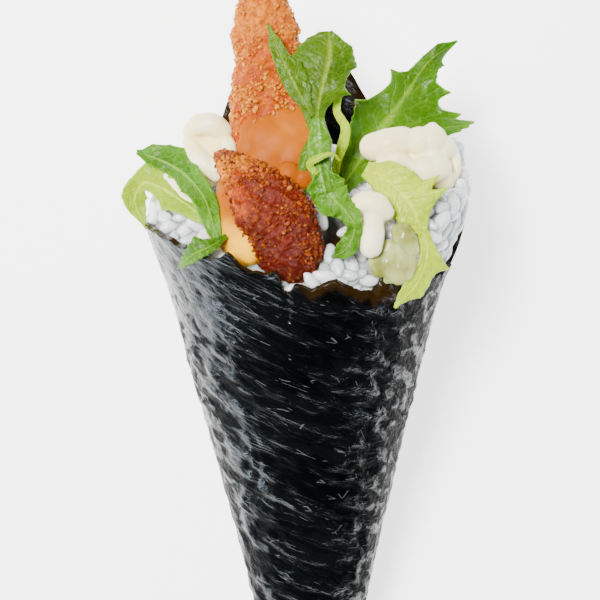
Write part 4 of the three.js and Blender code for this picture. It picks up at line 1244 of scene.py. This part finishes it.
LEFT_LOWER_BLADE = {
    "grid": MIDDLE_GRID,
    "spine": [
        (-17, 111.4, 44.4), (-22.3, 115.7, 39.4), (-27.2, 118.8, 35.6), (-30.7, 119.6, 33.2),
        (-32.2, 116.7, 32), (-29.9, 111.2, 32),
    ],
    "left": [
        (0, 0.8), (0.2, 1.7), (0.34, 2.6), (0.4, 3.4), (0.47, 2.6), (0.6, 1.4), (0.75, 2.5), (0.88, 1.8),
        (1, 0.2),
    ],
    "right": [
        (0, 0.8), (0.25, 1.8), (0.45, 2.9), (0.58, 4), (0.63, 4.4), (0.68, 2.2), (0.78, 2.4),
        (0.86, 1.4), (1, 0.2),
    ],
    "cup": 0.1, "wave": 0.4,
}
LEFT_CURL = {
    "grid": MIDDLE_GRID,
    "spine": [(-14.4, 109.6, 47.4), (-17.4, 107.6, 49.4), (-20.4, 106.2, 48.6), (-23.4, 103.8, 43.6)],
    "left": [(0, 0.5), (0.3, 1.2), (0.6, 1.4), (0.8, 1), (1, 0.2)],
    "right": [(0, 0.5), (0.3, 1.6), (0.44, 3), (0.6, 1.8), (0.8, 1), (1, 0.2)],
    "roll": [(0, 0), (0.5, 10), (1, 25)],
}
PALE_SHRED = {
    "grid": SMALL_GRID,
    "spine": [
        (6.2, 136.4, 43.6), (5.6, 132.6, 43), (7.2, 129.4, 41.4), (5.6, 123, 38.4), (5, 117.5, 35.6),
    ],
    "left": [(0, 0.6), (0.5, 1), (1, 0.6)],
    "right": [(0, 0.6), (0.5, 1), (1, 0.6)],
}
CENTRE_SHRED = {
    "grid": SMALL_GRID,
    "spine": [(1.6, 129.4, 43.8), (0.2, 125, 45), (-0.8, 121.4, 45.6), (-0.4, 117, 44)],
    "left": [(0, 0.4), (0.4, 1.1), (1, 0.5)],
    "right": [(0, 0.4), (0.4, 1.1), (1, 0.5)],
}

# %% [markdown]
# Each blade is made with its own kind of colour. Several of them form one leaf of the real roll, such as
# the middle one with its stem, frill and tendril, and together they replace that leaf's solid.

# %% Place the leaves
LEAVES = [
    ("leaf_centre", CENTRE_BLADE, "olive_leaf", "lettuce_centre", "lettuce"),
    ("leaf_finger", CENTRE_FINGER, "olive_leaf", "lettuce_centre", "lettuce"),
    ("leaf_stem", CENTRE_STEM, "blue_leaf", "lettuce_centre", "lettuce"),
    ("leaf_frill", CENTRE_FRILL, "blue_leaf", "lettuce_centre", "lettuce"),
    ("leaf_tendril", CENTRE_CURL, "lime_leaf", "lettuce_centre", "lettuce"),
    ("leaf_right", RIGHT_BLADE, "green_leaf", "lettuce_right", "lettuce"),
    ("leaf_pale", PALE_BLADE, "pale_leaf", "lettuce_pale", "pale_lettuce"),
    ("leaf_tail", PALE_TAIL, "pale_leaf", "lettuce_pale", "pale_lettuce"),
    ("leaf_left_upper", LEFT_UPPER_BLADE, "blue_leaf", "lettuce_left_upper", "lettuce"),
    ("leaf_left_lower", LEFT_LOWER_BLADE, "lime_leaf", "lettuce_left_lower", "pale_lettuce"),
    ("leaf_left_curl", LEFT_CURL, "green_leaf", "lettuce_left_curl", "lettuce"),
    ("shred_pale", PALE_SHRED, "pale_leaf", "lettuce_shred", "pale_lettuce"),
    ("shred_centre", CENTRE_SHRED, "olive_leaf", "lettuce_shred_centre", "lettuce"),
]
leaves = {}
for name, spec, material, node, slot in LEAVES:
    piece = blade(name, spec, leaf_colors[material])
    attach(piece, "root")
    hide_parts(node)
    leaves[name] = piece
print(len(leaves), "leaves")

# %% [markdown]
# ## Pale slices
# Two thin slices lie low at the right, wet enough to let light through. They are flattened lobes with a
# deep, glassy scattering.

# %% Slices
SLICE_LIGHT = (0.42, 0.46, 0.17)
SLICE_SHADE = (0.17, 0.19, 0.03)
pale_slice = cream_material("pale_slice", SLICE_LIGHT, SLICE_SHADE, 0.004, gloss=(0.1, 0.24), clouds=230)
SLICE_UPPER = {
    "ropes": [[(17.4, 110.2, 45.6, 2.1), (18.2, 108.6, 45.8, 2.3), (18.8, 107, 45.6, 1.9)]],
    "squash": 0.75,
}
SLICE_LOWER = {
    "ropes": [
        [(13, 106.8, 46.8, 1.3), (12.8, 104.8, 47, 1.6), (13, 103, 47, 1.2)],
        [(15, 107.8, 46.6, 1.3), (14.9, 105, 46.9, 1.8), (14.8, 102.2, 46.8, 1.4)],
        [(17, 107.4, 46.4, 1.4), (16.9, 104.8, 46.6, 1.8), (16.6, 102, 46.6, 1.4)],
        [(18.8, 106.6, 45.8, 1.3), (18.7, 104.6, 46, 1.6), (18.4, 102.4, 46, 1.2)],
    ],
    "squash": 0.6,
    "soften": 8,
}
SLICES = [("slice_high", SLICE_UPPER, "slice_upper"), ("slice_low", SLICE_LOWER, "slice_lower")]
for name, spec, node in SLICES:
    piece = cream(name, spec, pale_slice, ripple=0.25)
    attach(piece, "root")
    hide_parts(node)
    creams[name] = piece
    print(name, len(piece.data.polygons), "faces")

# %% [markdown]
# ## Rice
# Sushi rice is a sticky heap. A lumpy core carries nearly four hundred grains, each a blunt spindle about
# 4.5 to 6 mm long, lying every way on the open face. Geometry Nodes put a grain on each point and turn it
# by the point's own rotation, which keeps the points a plain list that can be checked against the
# fillings first.

# %% Surface of the rice
RICE_FRONT = 103.6
RICE_RISE = 26.0
RICE_FALL = 18.0
RICE_RIGHT = 4.5
RICE_WIDEST = 30.6
RICE_SHOULDER = 3.0
RICE_INSET = 1.5


def rice_points(part, degrees, inset=RICE_INSET):
    """Points of the open face, from 0 at its middle to 1 at its edge."""
    y = np.full(len(degrees), 112.0)
    for _ in range(14):
        overhang = np.maximum(0, cone_radius(y) - RICE_WIDEST) * np.sin(np.radians(degrees)) ** 2
        point = cone_points(y, degrees, (part - 1) * cone_radius(y) - inset - overhang)
        edge = RICE_SHOULDER * np.clip((part - 0.72) / 0.28, 0, 1) ** 2.4
        x, z = point[:, 0], point[:, 2]
        top = RICE_FRONT + RICE_RISE * (1 - np.exp((z - 48) / RICE_FALL)) + 0.08 * x
        top = top + RICE_RIGHT * smoothstep(14, 28, x)
        y = 0.5 * (y + top - edge + 0.7 * rough(point, 11, 1))
    point[:, 1] = y
    return point


# %% [markdown]
# Nothing may poke through a filling or the seaweed. One search tree over all the fillings' faces tells
# how far a spot is from them, and on which side. The cone's own formula tells how far it is from the
# wall.

# %% Room for the rice
def surface_tree(pieces):
    """One search tree over all the pieces' faces, for asking whether a spot lies inside a filling."""
    points, faces = [], []
    for piece in pieces:
        base = len(points)
        points.extend(v.co.copy() for v in piece.data.vertices)
        faces.extend([base + i for i in p.vertices] for p in piece.data.polygons)
    return BVHTree.FromPolygons(points, faces)


filling_tree = surface_tree([strip, front, *creams.values(), *leaves.values()])


def inside_filling(point, margin):
    """True where a point in millimetres lies within a filling or closer to it than the margin."""
    spot = Vector(placed(point))
    near, normal, _, distance = filling_tree.find_nearest(spot)
    return distance < margin * MM or (spot - near).dot(normal) < 0 and distance < 4 * MM


def inside_wall(point, margin):
    """True where a point in millimetres is too close to the seaweed or beyond it."""
    x, y, z = point
    across, height = x - cone_centre(y), z + REST_PRESS - cone_radius(y)
    edge = along(RIM, math.degrees(math.atan2(across, height)))
    return z < 2.2 or y < edge - 0.2 and math.hypot(across, height) > cone_radius(y) - WALL - margin


# %% [markdown]
# The core lies a little below the grains and has low lumps of their size. Where a filling is in the way,
# it is pushed down until it is free. A hollow stays open beside the front chicken, with painted shade in
# it, dark red-brown.

# %% Core of the rice
CORE_AROUND = 150
CORE_SIDE = (0.34, 0.5, 0.65, 0.8, 0.9, 0.96)
CORE_START = 37.2
SINK = 1.1
HOLLOW_AT = (5.3, 111.2)
HOLLOW_REACH = (2.6, 5.2)
HOLLOW_DEPTH = 6.0


def hollow_part(points):
    """1 in the middle of the gap beside the front chicken, falling to 0 at its edge."""
    x = (points[..., 0] - HOLLOW_AT[0]) / HOLLOW_REACH[0]
    y = (points[..., 1] - HOLLOW_AT[1]) / HOLLOW_REACH[1]
    return 1 - smoothstep(0.6, 1.1, np.hypot(x, y))


core_degrees = np.linspace(-180, 180, CORE_AROUND, endpoint=False)
core_rings = []
for part in CORE_SIDE:
    y = rice_points(np.ones(CORE_AROUND), core_degrees)[:, 1] * part
    core_rings.append(cone_points(y, core_degrees, -RICE_INSET + 0.4))
FIRST_TOP_RING = len(core_rings)
# painted shade of the hollow, one value for each point of the core
core_hollow_shade = [np.zeros(1 + FIRST_TOP_RING * CORE_AROUND)]
top_parts = np.linspace(1, 0.03, 44)
for part in top_parts:
    ring = rice_points(np.full(CORE_AROUND, part), core_degrees)
    down = np.array([0.0, -0.75, -0.66])
    lump = [max(0.0, 1 - 1.3 * noise.voronoi(Vector(p) / 2.6)[0][0]) for p in ring]
    shaded_hollows = hollow_part(ring)
    core_hollow_shade.append(shaded_hollows)
    ring = ring + down * (SINK - 0.8 * np.array(lump) + HOLLOW_DEPTH * shaded_hollows)[:, None]
    for i in range(len(ring)):
        steps = 0
        while steps < 12 and inside_filling(ring[i], 0.4):
            ring[i] = ring[i] + down * 0.5
            steps += 1
    core_rings.append(ring)
core_pole = [cone_centre(CORE_START), CORE_START, cone_radius(CORE_START)]
core_points, core_faces = ring_skin(core_rings, core_pole, core_rings[-1].mean(axis=0))
print("core has", len(core_faces), "faces")

# %% [markdown]
# Cooked rice is white with a cool, slightly grey translucency, wet and shiny. Scattering under the
# surface does most of it, with a faint cloudiness in the grain. The core is darker than the grains, as
# painted shade in the gaps between them, and its hollow beside the front chicken has painted shade.

# %% Rice material
# painted shade: the dark red-brown colour of the hollow beside the front chicken
HOLLOW_SHADE_COLOR = (0.045, 0.014, 0.002)


def rice_material(name, light, shade, scatter):
    material, tree, shader = new_material(name)
    tone = math_node(tree, "ADD", attribute(tree, "tone"), patches(tree, 320, 3.0, 0.5, -0.35, 0.35, MOST))
    color = ramp(tree, tone, [(0.2, shade), (0.8, light)])
    # painted shade: the hollow beside the front chicken is mixed to dark red-brown
    color = mixed(tree, attribute(tree, "hollow_shade"), color, HOLLOW_SHADE_COLOR)
    tree.links.new(color, shader.inputs["Base Color"])
    tree.links.new(patches(tree, 320, 3.0, 0.5, 0.14, 0.32, MOST), shader.inputs["Roughness"])
    bump(tree, shader, patches(tree, 900), 0.0003, 0.3)
    soft_inside(shader, 0.85, (1.0, 0.97, 0.88), scatter)
    return material


rice = rice_material("rice", (0.86, 0.90, 0.92), (0.56, 0.61, 0.64), 0.004)
# painted shade: darker colours for the core, which shows in the gaps between the grains
core_rice_painted_shade = rice_material("core_rice_painted_shade", (0.50, 0.53, 0.52), (0.34, 0.37, 0.36), 0.003)
core = make_object("rice_core", core_points, core_faces, core_rice_painted_shade)
set_attribute(core, "hollow_shade", np.concatenate([*core_hollow_shade, [0]]))

# %% [markdown]
# Spots for grains are drawn all over the open face and on the heap's side above the rim. Each grain lies
# along the surface at a random turn. A spot is kept only if it is far enough from those kept before it,
# from the fillings and from the wall.

# %% Where the grains lie
GRAIN_TRIES = 8400
GRAIN_SPACING = 2.15
GRAIN_LENGTH = 5.6
GRAIN_WIDTH = 2.5

dice = np.random.default_rng(11)
top = np.array(core_rings[FIRST_TOP_RING:])
a, b, c = top[:-1], np.roll(top[:-1], -1, axis=1), top[1:]
areas = np.linalg.norm(np.cross(b - a, c - a), axis=2).ravel()
picks = dice.choice(len(areas), GRAIN_TRIES, p=areas / areas.sum())
u, v, spin, tilt, height, tone = dice.random((6, GRAIN_TRIES))
row, column = np.divmod(picks, CORE_AROUND)
part = top_parts[row] + (top_parts[row + 1] - top_parts[row]) * u
angle = core_degrees[column] + v * 360 / CORE_AROUND
place = rice_points(part, angle)
inward = rice_points(part - 0.04, angle) - place
beside = rice_points(part, angle + 2.5) - place
inward /= np.linalg.norm(inward, axis=1)[:, None]
beside /= np.linalg.norm(beside, axis=1)[:, None]
outward = np.cross(inward, beside)
outward *= (np.sign(outward[:, 1]) / np.linalg.norm(outward, axis=1))[:, None]
spin = (2 * math.pi * spin)[:, None]
heading = inward * np.cos(spin) + beside * np.sin(spin) + outward * (1.1 * (tilt - 0.5))[:, None]
heading /= np.linalg.norm(heading, axis=1)[:, None]
place = place + outward * (0.9 * height - 0.7)[:, None]
on_side = np.arange(GRAIN_TRIES) % 3 == 0
side_angle = 20 + 320 * v
side_top = rice_points(np.ones(GRAIN_TRIES), side_angle)[:, 1]
side_low = along(RIM, (side_angle + 180) % 360 - 180) - 0.5
side_y = side_low + (side_top - side_low) * u
side_bulge = np.maximum(0, cone_radius(side_y) - RICE_WIDEST) * np.sin(np.radians(side_angle)) ** 2
side_place = cone_points(side_y, side_angle, -RICE_INSET - 0.5 - side_bulge + 0.6 * height)
side_at = cone_points(side_y, side_angle, -RICE_INSET)
side_next = cone_points(side_y + 0.5, side_angle, -RICE_INSET) - side_at
side_round = cone_points(side_y, side_angle + 2, -RICE_INSET) - side_at
side_next /= np.linalg.norm(side_next, axis=1)[:, None]
side_round /= np.linalg.norm(side_round, axis=1)[:, None]
side_heading = side_next * np.cos(spin) + side_round * np.sin(spin)
heading = np.where(on_side[:, None], side_heading, heading)
place = np.where(on_side[:, None], side_place, place)
usable = ~on_side | (side_top > side_low + 1.5)
spots, turns, sizes, tones = [], [], [], []
for i in np.flatnonzero(usable & (hollow_part(place) < 0.1)):
    spot = place[i]
    if spots and np.min(np.sum((np.array(spots) - spot) ** 2, axis=1)) < GRAIN_SPACING**2:
        continue
    ends = [spot + heading[i] * step for step in (-2.3, 0, 2.3)]
    if any(inside_filling(end, 0.5) for end in ends) or any(inside_wall(end, 0.7) for end in ends):
        continue
    turns.append(Vector(heading[i]).to_track_quat("Z", "Y").to_euler())
    spots.append(spot)
    sizes.append(0.8 + 0.32 * tilt[i])
    tones.append(tone[i])
print(len(spots), "grains")

# %% [markdown]
# The grain is a stretched ball of few faces. After the tree has set one on each spot, slow noise moves
# their points a little, so that no grain is quite like its neighbour.

# %% Grains
GRAIN_UNEVEN = 0.22


def grain_shape(nodes):
    ball = nodes.new("GeometryNodeMeshUVSphere")
    ball.inputs["Segments"].default_value = 12
    ball.inputs["Rings"].default_value = 9
    ball.inputs["Radius"].default_value = 0.5
    return ball


grain_tree = scatter_tree("grain_tree", rice, grain_shape, True)
grain_size = (GRAIN_WIDTH, GRAIN_WIDTH, GRAIN_LENGTH)
grains = scattered("rice_grains", spots, turns, sizes, tones, grain_tree, grain_size)
corners = np.array([tuple(v.co) for v in grains.data.vertices])
slopes = np.array([tuple(v.normal) for v in grains.data.vertices])
corners += slopes * (GRAIN_UNEVEN * MM * fractal(corners / MM, 2.4, 2))[:, None]
grains.data.vertices.foreach_set("co", corners.ravel())
grains.data.update()
for piece in (core, grains):
    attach(piece, "root")
    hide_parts("rice")
print("grains have", len(grains.data.polygons), "faces")

# %% [markdown]
# ## Floor and light
# A pale floor and large soft boxes low at the left and right light the roll. Nothing bright stands over
# the middle, so the seaweed stays black there and shines only on its flanks.

# %% Floor
FLOOR_SIZE = 3.0
floor_material, tree, shader = new_material("floor")
shader.inputs["Base Color"].default_value = (0.92, 0.92, 0.92, 1)
shader.inputs["Roughness"].default_value = 0.9
shader.inputs["Emission Color"].default_value = (1, 1, 1, 1)
shader.inputs["Emission Strength"].default_value = 2.4
half = FLOOR_SIZE / 2
floor_mesh = bpy.data.meshes.new("floor")
floor_corners = [(-half, -half, 0), (half, -half, 0), (half, half, 0), (-half, half, 0)]
floor_mesh.from_pydata(floor_corners, [], [(0, 1, 2, 3)])
floor_mesh.materials.append(floor_material)
floor = bpy.data.objects.new("floor", floor_mesh)
bpy.context.scene.collection.objects.link(floor)
print("floor is", FLOOR_SIZE, "m wide")

# %% [markdown]
# Three soft boxes do the lighting: a warm key high at the left, and two cool ones low at the sides,
# whose shine runs down the flanks of the seaweed. A faint white sky fills the shadows.

# %% Lights
def soft_box(name, place, size, watts, color=(1, 1, 1), target=(0, 0.02, 0.02)):
    data = bpy.data.lights.new(name, "AREA")
    data.shape = "RECTANGLE"
    data.size, data.size_y = size
    data.energy = watts
    data.color = color
    lamp = bpy.data.objects.new(name, data)
    lamp.location = place
    lamp.rotation_euler = (Vector(target) - Vector(place)).to_track_quat("-Z", "Y").to_euler()
    bpy.context.scene.collection.objects.link(lamp)


soft_box("key", (-0.24, 0.20, 0.80), (0.26, 0.26), 23, (1.0, 0.97, 0.93))
soft_box("left_low", (-0.74, -0.16, 0.22), (0.2, 0.5), 9, (0.82, 0.92, 1.0))
soft_box("right_low", (0.75, 0.10, 0.12), (0.12, 0.6), 3.5, (0.82, 0.92, 1.0))
world = bpy.data.worlds.new("world")
world.use_nodes = True
sky = world.node_tree.nodes["Background"]
sky.inputs["Color"].default_value = (0.95, 0.97, 1.0, 1)
sky.inputs["Strength"].default_value = 0.18
bpy.context.scene.world = world
